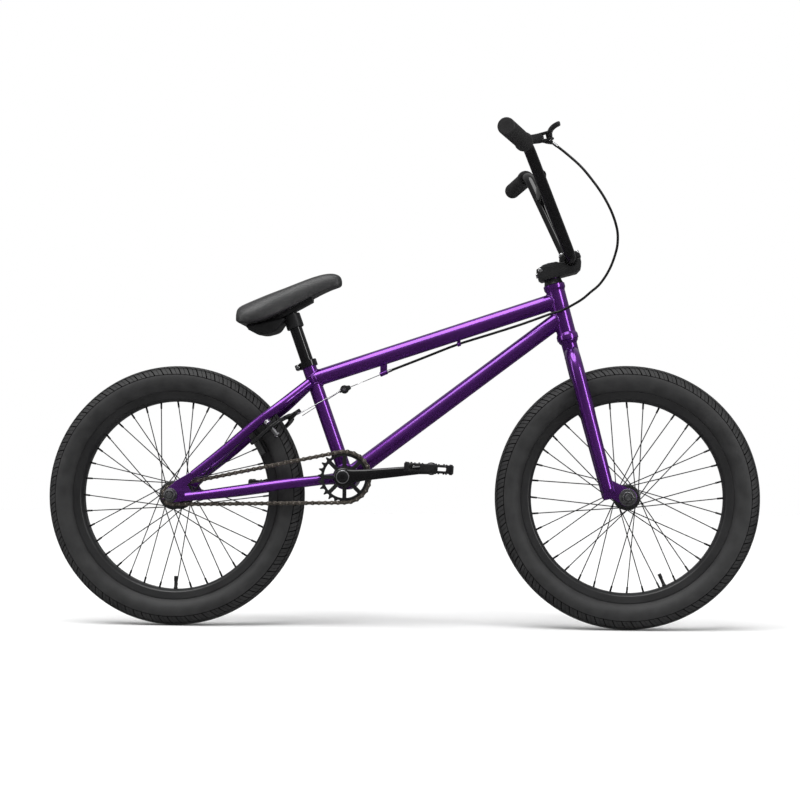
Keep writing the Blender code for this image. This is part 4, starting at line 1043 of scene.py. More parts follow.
def hubs():
    front = [
        (AXLE_BORE, 0.0494), (0.0096, 0.0494), (0.0101, 0.0488), (0.0104, 0.0450), (0.0116, 0.0440),
        (0.0118, 0.0405), (0.0150, 0.0372), (0.0184, 0.0352), (0.0190, 0.0341), (0.0250, 0.0338),
        (0.0257, 0.0332), (0.0257, 0.0314), (0.0250, 0.0308), (0.0185, 0.0302), (0.0165, 0.0280),
        (0.0140, 0.0230), (0.0131, 0.0170), (0.0130, 0.0060),
    ]
    hub_shell("front", FRONT_AXLE, both_sides(front))
    rear = [
        (AXLE_BORE, 0.0549), (0.0101, 0.0549), (0.0106, 0.0543), (0.0108, 0.0480), (0.0122, 0.0468),
        (0.0124, 0.0430), (0.0160, 0.0385), (0.0194, 0.0362), (0.0200, 0.0345), (0.0283, 0.0340),
        (0.0290, 0.0334), (0.0290, 0.0314), (0.0283, 0.0308), (0.0200, 0.0302), (0.0178, 0.0270),
        (0.0160, 0.0190), (0.0155, 0.0080), (0.0165, -0.0060), (0.0180, -0.0150), (0.0215, -0.0250),
        (0.0283, -0.0290), (0.0290, -0.0296), (0.0290, -0.0316), (0.0283, -0.0322),
        (0.0212, -0.0330), (0.0202, -0.0352), (0.0195, -0.0355), (AXLE_BORE, -0.0355),
    ]
    hub_shell("rear", REAR_AXLE, rear)


def axle_nuts(wheel, axle, inside, plate_width, washer_radius, body):
    washer, height = 0.0022, 0.0105
    end = inside + plate_width + washer + height + 0.003
    axle_profile = [(0, -end), (0.0060, -end), (0.0068, -end + 0.001)]
    thread = -end + 0.002
    while thread < -end + 0.016:
        axle_profile += [(0.0070, thread), (0.0065, thread + 0.0005)]
        thread += 0.001
    axle_profile += [(0.0070, thread + 0.0005), (0.0070, -thread - 0.0005)]
    axle_profile += [(radius, -y) for radius, y in reversed(axle_profile[:-2])]
    bar = lathe(f"{wheel}_axle_bar", NUT_STEEL, axle_profile, along(axle, ACROSS), 36)
    shown(bar, body, "bright_steel", f"{wheel}_axle")
    for side, y in SIDES:
        face = inside + plate_width + 0.0003
        start = axle + ACROSS * y * face
        ring = lathe(
            "washer", NUT_STEEL, edged(0, washer, washer_radius, 0.0005, AXLE_BORE),
            along(start, ACROSS * y), 48
        )
        collar = lathe(
            "collar", NUT_STEEL,
            [
                (AXLE_BORE, washer), (0.0117, washer), (0.0121, washer + 0.0006),
                (0.0117, washer + 0.0018), (AXLE_BORE, washer + 0.0018)
            ],
            along(start, ACROSS * y), 48
        )
        hexagon = rounded_outline(arc((0, 0), 0.0124, 0, 300, 5), 0.0012, 4)
        middle = Vector((axle.x, y * (face + washer + 0.0014 + (height - 0.0014) / 2), axle.z))
        block = plate(
            "nut", NUT_STEEL, [hexagon, circle((0, 0), AXLE_BORE, 40)], height - 0.0014,
            side_plane(middle), 0.0009
        )
        shown(
            fused(f"{wheel}_nut_and_washer_{side}", [block, ring, collar]), body, "bright_steel",
            f"{wheel}_axle_nut_{side}"
        )


# ---------------------------------------------------------------- drivetrain

CHAIN_Y, LINK_COUNT = -0.044, 72
SPROCKET_TEETH, DRIVER_TEETH = 25, 9
CRANK_LENGTH, CRANK_LIFT = 0.175, 5.6  # the right arm is lifted by these degrees
SPINDLE_BORE = 0.0098


def pitch_radius(teeth):
    return 0.0127 / 2 / math.sin(math.pi / teeth)


def unit(angle):
    return Vector((math.cos(angle), math.sin(angle)))


def chain_runs():
    """The chain's lean, its slope from that, its straight run, and its arcs at front and back."""
    span = BB - REAR_AXLE
    reach, lean = math.hypot(span.x, span.z), math.atan2(span.z, span.x)
    big, small = pitch_radius(SPROCKET_TEETH), pitch_radius(DRIVER_TEETH)
    slope = math.asin((big - small) / reach)
    run = math.sqrt(reach ** 2 - (big - small) ** 2)
    return lean, slope, run, big * (math.pi + 2 * slope), small * (math.pi - 2 * slope)


def chain_length():
    _, _, run, front, back = chain_runs()
    return 2 * run + front + back


def chain_place(distance):
    """The point this far along the chain's pitch line, starting on top of the driver."""
    span = BB - REAR_AXLE
    centre = Vector((span.x, span.z))
    big, small = pitch_radius(SPROCKET_TEETH), pitch_radius(DRIVER_TEETH)
    lean, slope, run, front, back = chain_runs()
    distance %= 2 * run + front + back
    top, low = lean + slope, lean - slope
    if distance < run:
        return small * Vector((-math.sin(top), math.cos(top))) + unit(top) * distance
    distance -= run
    if distance < front:
        return centre + big * unit(top + math.pi / 2 - distance / big)
    distance -= front
    if distance < run:
        return centre + big * unit(low - math.pi / 2) + unit(low + math.pi) * distance
    distance -= run
    return small * unit(low - math.pi / 2 - distance / small)


def link_plate(length):
    """A figure-of-eight plate from one pin to the next, along local X."""
    round_end, waist = 0.0043, 0.0031
    right = arc((length, 0), round_end, -128, 128, 14)
    left = arc((0, 0), round_end, 52, 308, 14)
    return right + [(length / 2, waist)] + left + [(length / 2, -waist)]


def stamped(name, paint, mesh, matrices):
    """Copies of one mesh as one object, built from arrays to stay quick."""
    verts, faces = [], []
    template = [vert.co.copy() for vert in mesh.vertices]
    polygons = [tuple(polygon.vertices) for polygon in mesh.polygons]
    for matrix in matrices:
        base = len(verts)
        verts += [matrix @ co for co in template]
        faces += [tuple(base + i for i in polygon) for polygon in polygons]
    result = bpy.data.meshes.new(name)
    result.from_pydata(verts, [], faces)
    result.update()
    return new_piece(name, result, paint, 35)


def take_mesh(piece):
    mesh = piece.data
    bpy.data.objects.remove(piece)
    return mesh


def chain():
    pitch = chain_length() / LINK_COUNT
    outer_width, thick = 0.0037, 0.0011
    flat = Matrix.Identity(4)
    plate_mesh = take_mesh(plate("link", CHAIN_OUTER, [link_plate(pitch)], thick, flat, 0.00025))
    pin_mesh = take_mesh(lathe("pin", CHAIN_PIN, edged(-0.0044, 0.0044, 0.0018, 0.0003), flat, 14))
    roller_mesh = take_mesh(
        lathe("roller", CHAIN_PIN, edged(-0.0019, 0.0019, 0.0038, 0.0003), flat, 20)
    )
    plates, pins, rollers = [], [], []
    big, small = pitch_radius(SPROCKET_TEETH), pitch_radius(DRIVER_TEETH)
    for i in range(LINK_COUNT):
        here, there = chain_place((i + 0.5) * pitch), chain_place((i + 1.5) * pitch)
        spot = Vector((REAR_AXLE.x + here.x, CHAIN_Y, REAR_AXLE.z + here.y))
        ahead = there - here
        place = axes(spot, (ahead.x, 0, ahead.y), (-ahead.y, 0, ahead.x))
        offset = outer_width if i % 2 else outer_width - 0.0012
        plates += [place @ Matrix.Translation((0, 0, z)) for z in (offset, -offset)]
        pins.append(place)
        from_big = (spot - Vector((BB.x, CHAIN_Y, BB.z))).length
        if from_big > big + 0.008 and here.length > small + 0.008:
            rollers.append(place)
    links = [
        stamped("plates", CHAIN_OUTER, plate_mesh, plates),
        stamped("pins", CHAIN_PIN, pin_mesh, pins),
        stamped("rollers", CHAIN_PIN, roller_mesh, rollers),
    ]
    shown(fused("chain_of_links", links), "frame", "chain_steel", "chain")


def gear_outline(teeth, first):
    """A sprocket's edge, with a round seat for each roller.

    first turns the seats to where the rollers are.
    """
    pitch, seat = pitch_radius(teeth), 0.0039
    outline = []
    step = 2 * math.pi / teeth
    for i in range(teeth):
        angle = first + i * step
        centre = (pitch * math.cos(angle), pitch * math.sin(angle))
        turned = math.degrees(angle)
        outline += arc(centre, seat, turned - 90 - 22, turned - 270 + 22, 8)
        for share, radius in (
            (0.40, pitch + 0.0024), (0.46, pitch + 0.0030), (0.54, pitch + 0.0030),
            (0.60, pitch + 0.0024)
        ):
            tip = angle + step * share
            outline.append((radius * math.cos(tip), radius * math.sin(tip)))
    return outline


def roller_angle(centre):
    """The direction from a sprocket's centre to a roller that it carries."""
    pitch = chain_length() / LINK_COUNT
    middle_of = Vector((centre.x - REAR_AXLE.x, centre.z - REAR_AXLE.z))
    side = 1 if centre.x > REAR_AXLE.x + 0.01 else -1
    best = max(range(LINK_COUNT), key=lambda i: side * chain_place((i + 0.5) * pitch).x)
    here = chain_place((best + 0.5) * pitch) - middle_of
    return math.atan2(here.y, here.x)


def sprocket():
    place = side_plane(Vector((BB.x, CHAIN_Y, BB.z)))
    windows = []
    for i in range(8):
        start, end = 45 * i + 5.5, 45 * (i + 1) - 5.5
        outer = arc((0, 0), 0.0415, start, end, 8)
        inner = arc((0, 0), 0.0215, end - 5, start + 5, 5)
        windows.append(rounded_outline(outer + inner, 0.0020, 2)[::-1])
    hole = circle((0, 0), SPINDLE_BORE, 48)[::-1]
    disc = plate(
        "disc", SATIN, [gear_outline(SPROCKET_TEETH, roller_angle(BB)), hole] + windows, 0.0032,
        place, 0.0005
    )
    spacer = lathe(
        "spacer", SATIN, edged(-0.0096, 0.0, 0.0135, 0.0006, SPINDLE_BORE),
        along(BB + ACROSS * CHAIN_Y, -ACROSS), 48
    )
    guard = bolt(
        along(BB + turn(CRANK_LIFT) * 0.034 + ACROSS * (CHAIN_Y - 0.0016), -ACROSS), 0.0045, 0.0028,
        DARK_BOLT
    )
    shown(fused("sprocket_disc", [disc, spacer, guard]), "cranks", "black_satin", "sprocket")


def driver():
    place = side_plane(REAR_AXLE + ACROSS * CHAIN_Y)
    hole = circle((0, 0), AXLE_BORE, 32)[::-1]
    teeth = plate(
        "teeth", STEEL, [gear_outline(DRIVER_TEETH, roller_angle(REAR_AXLE)), hole], 0.0032, place,
        0.0004
    )
    sleeve = lathe(
        "sleeve", SATIN, edged(0.0363, 0.0548, 0.0125, 0.0008, AXLE_BORE), along(REAR_AXLE, -ACROSS),
        48
    )
    shown(fused("driver_cog", [teeth, sleeve]), "freewheel_driver", "black_satin", "driver")


CRANK_INNER, CRANK_OUTER = 0.064, 0.080  # from the middle plane
CRANK_EYE = 0.0465  # where the boss ends on the spindle


def crank_blade(place):
    """The arm: wide at the spindle and narrow at the pedal."""
    outline = arc((0, 0), 0.0185, 50, 310, 40)
    outline += [(0.020, -0.0128), (0.045, -0.0110), (0.150, -0.0086)]
    outline += arc((CRANK_LENGTH, 0), 0.0125, -125, 125, 30)
    outline += [(0.150, 0.0086), (0.045, 0.0110), (0.020, 0.0128)]
    return plate("arm", GLOSS, [outline], CRANK_OUTER - CRANK_INNER, place, 0.0045)


def crank_cap(place):
    """The cap over the spindle's end and the bright ring round it."""
    cap_profile = [
        (0, -0.006), (0, -0.0018), (0.0042, -0.0018), (0.0045, 0.0004), (0.0098, 0.0004),
        (0.0112, -0.0002), (0.0112, -0.006),
    ]
    ring_profile = [
        (0.0114, -0.002), (0.0114, 0.0005), (0.0126, 0.0005), (0.0130, 0.0001), (0.0130, -0.002),
    ]
    cap = lathe("cap", DARK_BOLT, cap_profile, place, 40)
    ring = lathe("ring", SILVER, ring_profile, place, 48)
    return [cap, ring]


def cranks():
    for side, y in SIDES:
        lift, up = (CRANK_LIFT, 1) if side == "right" else (CRANK_LIFT + 180, -1)
        outwards, direction, over = ACROSS * y, turn(lift), turn(lift + 90)
        centre = BB + ACROSS * y * (CRANK_INNER + CRANK_OUTER) / 2
        pieces = [crank_blade(axes(centre, direction, (0, 0, up)))]
        boss = edged(y * CRANK_EYE, y * (CRANK_INNER + 0.004), 0.0165, y * 0.001, SPINDLE_BORE)
        pieces.append(lathe("boss", GLOSS, boss, along(BB, ACROSS), 56))
        pieces += crank_cap(along(BB + ACROSS * y * CRANK_OUTER, outwards))
        pinch_spot = BB + ACROSS * y * 0.055 + over * 0.0165
        pieces.append(bolt(along(pinch_spot, over), 0.0038, 0.002))
        end = BB + direction * CRANK_LENGTH + ACROSS * y * CRANK_OUTER
        face = edged(-0.002, 0.0003, 0.0095, 0.0003, 0.0068)
        pieces.append(lathe("face", DARK_BOLT, face, along(end, outwards), 40))
        arm = fused(f"crank_arm_{side}", pieces)
        shown(arm, "cranks", "black_gloss", f"crank_{side}")
    spindle_profile = edged(-0.0738, 0.0738, 0.0095, 0.0008)
    spindle = lathe("spindle_bar", STEEL, spindle_profile, along(BB, ACROSS), 40)
    shown(spindle, "cranks", "bright_steel", "crank_spindle")


PEDAL_INNER, PEDAL_OUTER = 0.097, 0.197  # from the middle plane
PEDAL_LENGTH, PEDAL_THICK = 0.092, 0.0165
PEDAL_WIDTH = PEDAL_OUTER - PEDAL_INNER
PEDAL_TILT = math.radians(3.7)


def pedal_axle(side, y, centre):
    profile = [
        (0, 0.0645), (0.0060, 0.0645), (0.0065, 0.0650), (0.0065, 0.0803), (0.0095, 0.0803),
        (0.0097, 0.0810), (0.0097, 0.0855), (0.0090, 0.0868), (0.0075, 0.0880),
        (0.0075, 0.0950), (0.005, 0.0958), (0.005, 0.1935), (0, 0.194),
    ]
    place = along(Vector((centre.x, 0, centre.z)), ACROSS * y)
    rod = lathe(f"pedal_{side}_axle_bar", STEEL, profile, place, 40)
    shown(rod, "cranks", "bright_steel", f"pedal_axle_{side}")


def pedal_outlines():
    """The platform's edge and its four windows."""
    end, waist, side = PEDAL_LENGTH / 2, 0.034, PEDAL_WIDTH / 2
    edge = rounded_outline([
        (-end, -waist), (-waist, -side), (waist, -side), (end, -waist),
        (end, waist), (waist, side), (-waist, side), (-end, waist),
    ], 0.006)
    rail = 0.007
    windows = []
    for front in (-1, 1):
        for out in (-1, 1):
            near, far = 0.0105 * front, (end - rail) * front
            low, high = 0.004 * out, (side - rail) * out
            corners = [
                (near, low), (far, low), (far, high * 0.72), (far * 0.8, high), (near, high),
            ]
            window = rounded_outline(corners, 0.003)
            windows.append(window if front * out < 0 else window[::-1])
    return [edge] + windows


def pedal_pins():
    """The places of the pins on both faces of the platform."""
    spots = []
    for face in (-1, 1):
        level = face * (PEDAL_THICK / 2 - 0.0004)
        for front in (-1, 1):
            for across in (-0.030, -0.011, 0.011, 0.030):
                spots.append((face, (front * (PEDAL_LENGTH / 2 - 0.0038), across, level)))
            for ahead in (0.016, 0.031):
                for across in (-1, 1):
                    spots.append((face, (front * ahead, across * (PEDAL_WIDTH / 2 - 0.0042), level)))
    return [along(Vector(spot), (0, 0, face)) for face, spot in spots]


def pedals():
    stud_profile = [(0, 0), (0.0019, 0), (0.0017, 0.0018), (0.0010, 0.0022), (0, 0.0022)]
    for side, y in SIDES:
        centre = joint_place(f"{side}_pedal_spin")
        pedal_axle(side, y, centre)
        middle = Vector((centre.x, y * (PEDAL_INNER + PEDAL_OUTER) / 2, centre.z))
        place = Matrix.Translation(middle) @ Matrix.Rotation(PEDAL_TILT, 4, "Y")
        body = plate("body", PLASTIC, pedal_outlines(), PEDAL_THICK, place, 0.0016)
        for front in (-1, 1):
            slot_place = place @ Matrix.Translation((front * 0.0245, 0, 0))
            slot = rounded_block("slot", PLASTIC, (0.0215, 0.14, 0.0070), slot_place, 0.0015, 2)
            carve(body, slot)
        barrel_profile = edged(-PEDAL_WIDTH / 2 + 0.001, PEDAL_WIDTH / 2 - 0.001, 0.0088, 0.0008)
        barrel_place = place @ along(Vector((0, 0, 0)), ACROSS)
        barrel = lathe("barrel", PLASTIC, barrel_profile, barrel_place, 32)
        stud = take_mesh(lathe("stud", PLASTIC, stud_profile, Matrix.Identity(4), 14))
        studs = stamped("studs", PLASTIC, stud, [place @ pin for pin in pedal_pins()])
        platform = fused(f"pedal_{side}_platform", [body, barrel, studs])
        shown(platform, f"{side}_pedal", "black_satin", f"pedal_{side}")


# ---------------------------------------------------------------- rear brake

STAY_LIFT = 39  # degrees
# along the seat stays, and from them towards the seat tube
BRAKE_UP, BRAKE_OUT = turn(STAY_LIFT), turn(STAY_LIFT - 90)
BRAKE_PIVOT_Y, BRAKE_PIVOT = 0.0455, 0.2395
ARM_OUT = {"right": 0.0192, "left": 0.0268}
ARM_THICKNESS = 0.0065
ARM_HOLE, ARM_END = 0.0053, (-0.0335, 0.2965)  # the clamp of the straddle wire is at the end


def brake_place(y, up, out):
    return REAR_AXLE + ACROSS * y + BRAKE_UP * up + BRAKE_OUT * out


def ribbon(stations):
    """The outline of a band through (x, y, half width) stations, rounded at both ends."""
    knots = [(x, y, 0.0, half) for x, y, half in stations]
    route = smooth(knots, 0.004)
    left, right = [], []
    for i, (x, y, _, half) in enumerate(route):
        before, after = route[max(i - 1, 0)], route[min(i + 1, len(route) - 1)]
        heading = Vector((after[0] - before[0], after[1] - before[1])).normalized()
        left.append((x - heading.y * half, y + heading.x * half))
        right.append((x + heading.y * half, y - heading.x * half))
        if i == 0:
            angle = math.degrees(math.atan2(heading.y, heading.x))
            start = arc((x, y), half, angle + 270, angle + 90, 10)[1:-1]
        if i == len(route) - 1:
            angle = math.degrees(math.atan2(heading.y, heading.x))
            end = arc((x, y), half, angle + 90, angle - 90, 10)[1:-1]
    return start + left + end + right[::-1]


def coil(name, paint, start, direction, radius, wire, turns, length):
    """A coiled spring along the direction."""
    per_turn = 18
    place = along(start, direction)
    route = []
    count = int(turns * per_turn)
    for i in range(count + 1):
        angle = 2 * math.pi * i / per_turn
        route.append((*(place @ polar(radius, angle, length * i / count)), wire))
    return tube(name, paint, route, 8)


def brake_arms():
    centre_line = [
        (0.0400, 0.1925, 0.0060), (0.0432, 0.2150, 0.0070), (BRAKE_PIVOT_Y, BRAKE_PIVOT, 0.0100),
        (0.0350, 0.2620, 0.0080), (0.0120, 0.2745, 0.0065), (-0.0140, 0.2800, 0.0060),
        (-0.0315, 0.2960, 0.0050),
    ]
    for side, y in SIDES:
        out = ARM_OUT[side]
        outline = ribbon([(y * across, up, half) for across, up, half in centre_line])
        place = axes(brake_place(0, 0, out), ACROSS, BRAKE_UP)
        hole = circle((y * BRAKE_PIVOT_Y, BRAKE_PIVOT), ARM_HOLE, 32)
        arm = plate("arm", SATIN, [outline, hole[::-1]], ARM_THICKNESS, place, 0.0014)
        pieces = [arm]
        pivot = brake_place(y * BRAKE_PIVOT_Y, BRAKE_PIVOT, out - ARM_THICKNESS / 2)
        pieces.append(
            lathe(
                "sleeve", SATIN, edged(-0.0055, 0.0, 0.0086, 0.0008, ARM_HOLE),
                along(pivot, BRAKE_OUT), 40
            )
        )
        pieces.append(
            coil("spring", STEEL, pivot - BRAKE_OUT * 0.0125, BRAKE_OUT, 0.0079, 0.0008, 4, 0.0066)
        )
        clamp = brake_place(y * ARM_END[0], ARM_END[1], out + ARM_THICKNESS / 2)
        pieces.append(
            lathe("clamp", STEEL, edged(0, 0.0012, 0.0046, 0.0002), along(clamp, BRAKE_OUT), 28)
        )
        shown(
            fused(f"brake_arm_{side}_forging", pieces), f"{side}_brake_arm", "black_satin",
            f"brake_arm_{side}"
        )
        cap = brake_place(y * BRAKE_PIVOT_Y, BRAKE_PIVOT, 0.0365)
        head = fused(f"brake_pivot_bolt_{side}", [bolt(along(cap, BRAKE_OUT), 0.0066, 0.0042)])
        shown(head, "frame", "bright_steel")


def brake_pads():
    inner, outer, radius, height, span = 0.0206, 0.0310, 0.1975, 0.012, 9.0
    for side, y in SIDES:
        around = STAY_LIFT - math.degrees(math.asin(ARM_OUT[side] / radius))
        low, high = radius - height / 2, radius + height / 2
        outline = rounded_outline(
            arc(
                (0, 0), high, around - span, around + span, 14
            ) + arc((0, 0), low, around + span, around - span, 14),
            0.0022, 4
        )
        middle_place = at(0, y * (inner + outer) / 2, REAR_AXLE.z)
        pad = plate("block", RUBBER, [outline], outer - inner, side_plane(middle_place), 0.0012)
        spot = REAR_AXLE + turn(around) * (radius - 0.002)
        stud = lathe(
            "stud", STEEL, edged(outer - 0.001, 0.0337, 0.0045, 0.0004), along(spot, ACROSS * y), 28
        )
        shown(
            fused(f"brake_shoe_{side}", [pad, stud]), f"{side}_brake_arm", "tyre_rubber",
            f"brake_pad_{side}"
        )


def hanger_and_wires():
    outline = rounded_outline(
        arc((0, 0), 0.0085, 40, 320, 30) + [(0.013, -0.0035), (0.013, 0.0035)], 0.0012, 3
    )
    place = axes(HANGER, WIRE_RUN, ACROSS.cross(WIRE_RUN))
    yoke = plate("yoke", SATIN, [outline], 0.008, place, 0.0012)
    pinch = bolt(along(HANGER - ACROSS * 0.004, -ACROSS), 0.0034, 0.0022)
    barrel = lathe(
        "barrel", STEEL, edged(-0.0115, -0.0040, 0.0034, 0.0004), along(HANGER, WIRE_RUN), 20
    )
    shown(
        fused("cable_hanger_yoke", [yoke, pinch, barrel]), "hanger", "bright_steel", "cable_hanger"
    )
    wire = 0.0008
    start, end = HANGER + WIRE_RUN * 0.0128, CABLE_STOP + WIRE_RUN * 0.0078
    shown(strand("brake_wire_strand", start, end, wire), "hanger", "bright_steel", "brake_wire")
    tip = brake_place(-ARM_END[0], ARM_END[1], ARM_OUT["left"] + ARM_THICKNESS / 2 + 0.0015)
    other = Vector((tip.x, -tip.y, tip.z))
    behind = HANGER - WIRE_RUN * 0.0095
    points = [tip, behind + ACROSS * 0.0035, behind - ACROSS * 0.0035, other]
    route = bent(points, (0.004, 0.004), wire, 8)
    shown(tube("straddle_wire_strand", STEEL, route, 12), "hanger", "bright_steel", "straddle_wire")


def strand(name, start, end, radius):
    """A wire whose lay shows as a fine twist."""
    run = end - start
    place = along(start, run)
    pieces = []
    for k in range(5):
        route = []
        turns = run.length / 0.011
        count = max(12, int(turns * 14))
        for i in range(count + 1):
            angle = 2 * math.pi * (k / 5 + turns * i / count)
            spot = polar(radius * 0.55, angle, run.length * i / count)
            route.append((*(place @ spot), radius * 0.48))
        pieces.append(tube("lay", STEEL, route, 6))
    return fused(name, pieces)


HOUSING = (  # x, y, z
    (0.7570, -0.1850, 0.9338), (0.7830, -0.1750, 0.9148), (0.8100, -0.1600, 0.8930),
    (0.8330, -0.1450, 0.8680), (0.8530, -0.1300, 0.8420), (0.8700, -0.1150, 0.8120),
    (0.8805, -0.1000, 0.7830), (0.8827, -0.0900, 0.7620), (0.8800, -0.0830, 0.7413),
    (0.8680, -0.0700, 0.7080), (0.8490, -0.0600, 0.6790), (0.8300, -0.0520, 0.6630),
    (0.8155, -0.0480, 0.6510), (0.7930, -0.0420, 0.6380), (0.7730, -0.0370, 0.6286),
    (0.7555, -0.0330, 0.6240), (0.7340, -0.0280, 0.6167), (0.6920, -0.0205, 0.6025),
    (0.6350, -0.0070, 0.5856), (0.5840, 0.0000, 0.5706), (0.5560, 0.0000, 0.5610),
    (0.4920, 0.0000, 0.5358),
)


def housing():
    points = [at(*point) for point in HOUSING] + [CABLE_STOP + WIRE_RUN * 0.0084]
    route = smooth([(*point, 0.0025) for point in points], 0.005)
    casing = tube("casing", CABLE, route, 16)
    first, second = Vector(route[0][:3]), Vector(route[2][:3])
    last, before = Vector(route[-1][:3]), Vector(route[-3][:3])
    ferrules = [
        lathe("ferrule", STEEL, edged(0, 0.0095, 0.0031, 0.0004), along(first, second - first), 24),
        lathe("ferrule", STEEL, edged(0, 0.0095, 0.0031, 0.0004), along(last, before - last), 24),
    ]
    piece = fused("brake_housing_casing", [casing, *ferrules])
    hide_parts("brake_housing")
    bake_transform(piece)


# ---------------------------------------------------------------- brake lever

BAR_AXIS = (at(GRIP_OUTER.x, -GRIP_OUTER.y, 0) - at(GRIP_INNER.x, -GRIP_INNER.y, 0)).normalized()
LEVER_RISE = math.radians(12)
BAR_FRONT = BAR_AXIS.cross(Vector((0, 0, -1))).normalized()
LEVER_REACH = BAR_FRONT * math.cos(LEVER_RISE) + Vector((0, 0, 1)) * math.sin(LEVER_RISE)
LEVER_PIN, LEVER_CLAMP = at(0.7487, -0.200, 0.9455), at(0.7029, -0.200, 0.9331)
LEVER_PLACE = axes(LEVER_PIN, BAR_AXIS, LEVER_REACH)


def bracket_cheeks():
    """The block that grips the clamp ring and the two cheeks that hold the lever's pin."""
    cheek = rounded_outline([
        (-0.0080, -0.018), (0.008, -0.018), (0.008, 0.004), (0.004, 0.008), (-0.004, 0.008),
        (-0.008, 0.004),
    ], 0.003)
    root = rounded_outline([
        (0.0062, -0.040), (0.0124, -0.040), (0.0124, -0.033), (0.008, -0.020), (0.008, -0.0112),
        (-0.008, -0.0112), (-0.008, -0.022),
    ], 0.002)
    pieces = [plate("root", SATIN, [root], 0.0165, LEVER_PLACE, 0.0012)]
    for height in (-0.0068, 0.0068):
        place = LEVER_PLACE @ Matrix.Translation((0, 0, height))
        pieces.append(plate("cheek", SATIN, [cheek], 0.0029, place, 0.0007))
    return pieces


def lever_pin():
    up = LEVER_REACH.cross(BAR_AXIS)
    head = bolt(along(LEVER_PIN + up * 0.0080, up), 0.0034, 0.0014)
    foot = bolt(along(LEVER_PIN - up * 0.0080, -up), 0.0034, 0.0012, socket=False)
    bar = lathe("pin", STEEL, edged(-0.008, 0.008, 0.0026, 0.0002), along(LEVER_PIN, up), 20)
    return [head, foot, bar]


def adjuster():
    """The knurled barrel between the bracket and the cable housing."""
    forward = LEVER_PIN + BAR_AXIS * -0.005 + LEVER_REACH * -0.016
    start = forward - BAR_AXIS.cross(LEVER_REACH) * 0.005
    end = at(0.7555, -0.1868, 0.9350)
    length = (end - start).length
    knurl = [(0, 0), (0.0036, 0), (0.0036, length * 0.35)]
    step = 0.0012
    height = length * 0.35
    while height < length - 0.002:
        knurl.append((0.0042, height + step * 0.2))
        knurl.append((0.0042, height + step * 0.6))
        knurl.append((0.0038, height + step * 0.8))
        height += step
    knurl += [(0.0038, length), (0, length)]
    return lathe("adjuster", SATIN, knurl, along(start, end - start), 28)


def lever_bracket():
    ring_profile = edged(-0.0035, 0.0035, 0.0155, 0.0008, BAR_RADIUS + GAP)
    ring = lathe("ring", SATIN, ring_profile, along(LEVER_CLAMP, BAR_AXIS), 56)
    pieces = [ring] + bracket_cheeks() + lever_pin() + [adjuster()]
    shown(fused("lever_bracket", pieces), "steering", "black_satin", "lever_clamp")


def lever_blade():
    line = [
        (-0.0005, 0.0, 0.0062), (0.012, 0.003, 0.0055), (0.028, 0.0075, 0.0042),
        (0.048, 0.0145, 0.0038), (0.064, 0.0240, 0.0038), (0.072, 0.0325, 0.0038),
    ]
    hole = circle((0, 0), 0.0029, 24)[::-1]
    lever = plate("brake_lever_blade", SATIN, [ribbon(line), hole], 0.0090, LEVER_PLACE, 0.0022)
    shown(lever, "lever", "black_satin", "brake_lever")


# ---------------------------------------------------------------- saddle and post

POST_TOP = at(0.2303, 0, 0.6270)
SADDLE = (  # forward, top, underside, half width
    (0.1215, 0.6370, 0.6110, 0.044), (0.1340, 0.6450, 0.6030, 0.060), (0.1600, 0.6560, 0.6040, 0.065),
    (0.1900, 0.6690, 0.6130, 0.058), (0.2200, 0.6805, 0.6300, 0.041), (0.2550, 0.6950, 0.6490, 0.029),
    (0.2900, 0.7075, 0.6680, 0.0245), (0.3180, 0.7110, 0.6800, 0.0215), (0.3345, 0.7020, 0.6830, 0.0150),
)
SADDLE_SHAPE = (  # shares of the half width and of the height, from the top's middle
    (0.0, 1.0), (0.45, 0.97), (0.80, 0.80), (1.0, 0.44), (1.0, 0.12), (0.975, 0.015), (0.88, 0.0),
    (0.0, 0.0)
)


def saddle_ring(x, top, low, half):
    height = top - low
    left = [at(x, half * across, low + height * up) for across, up in SADDLE_SHAPE]
    right = [
        at(x, -half * across, low + height * up) for across, up in reversed(SADDLE_SHAPE[1:-1])
    ]
    return left + right


def underside(x):
    for first, second in zip(SADDLE, SADDLE[1:]):
        if x <= second[0]:
            share = (x - first[0]) / (second[0] - first[0])
            return first[2] + (second[2] - first[2]) * share
    return SADDLE[-1][2]


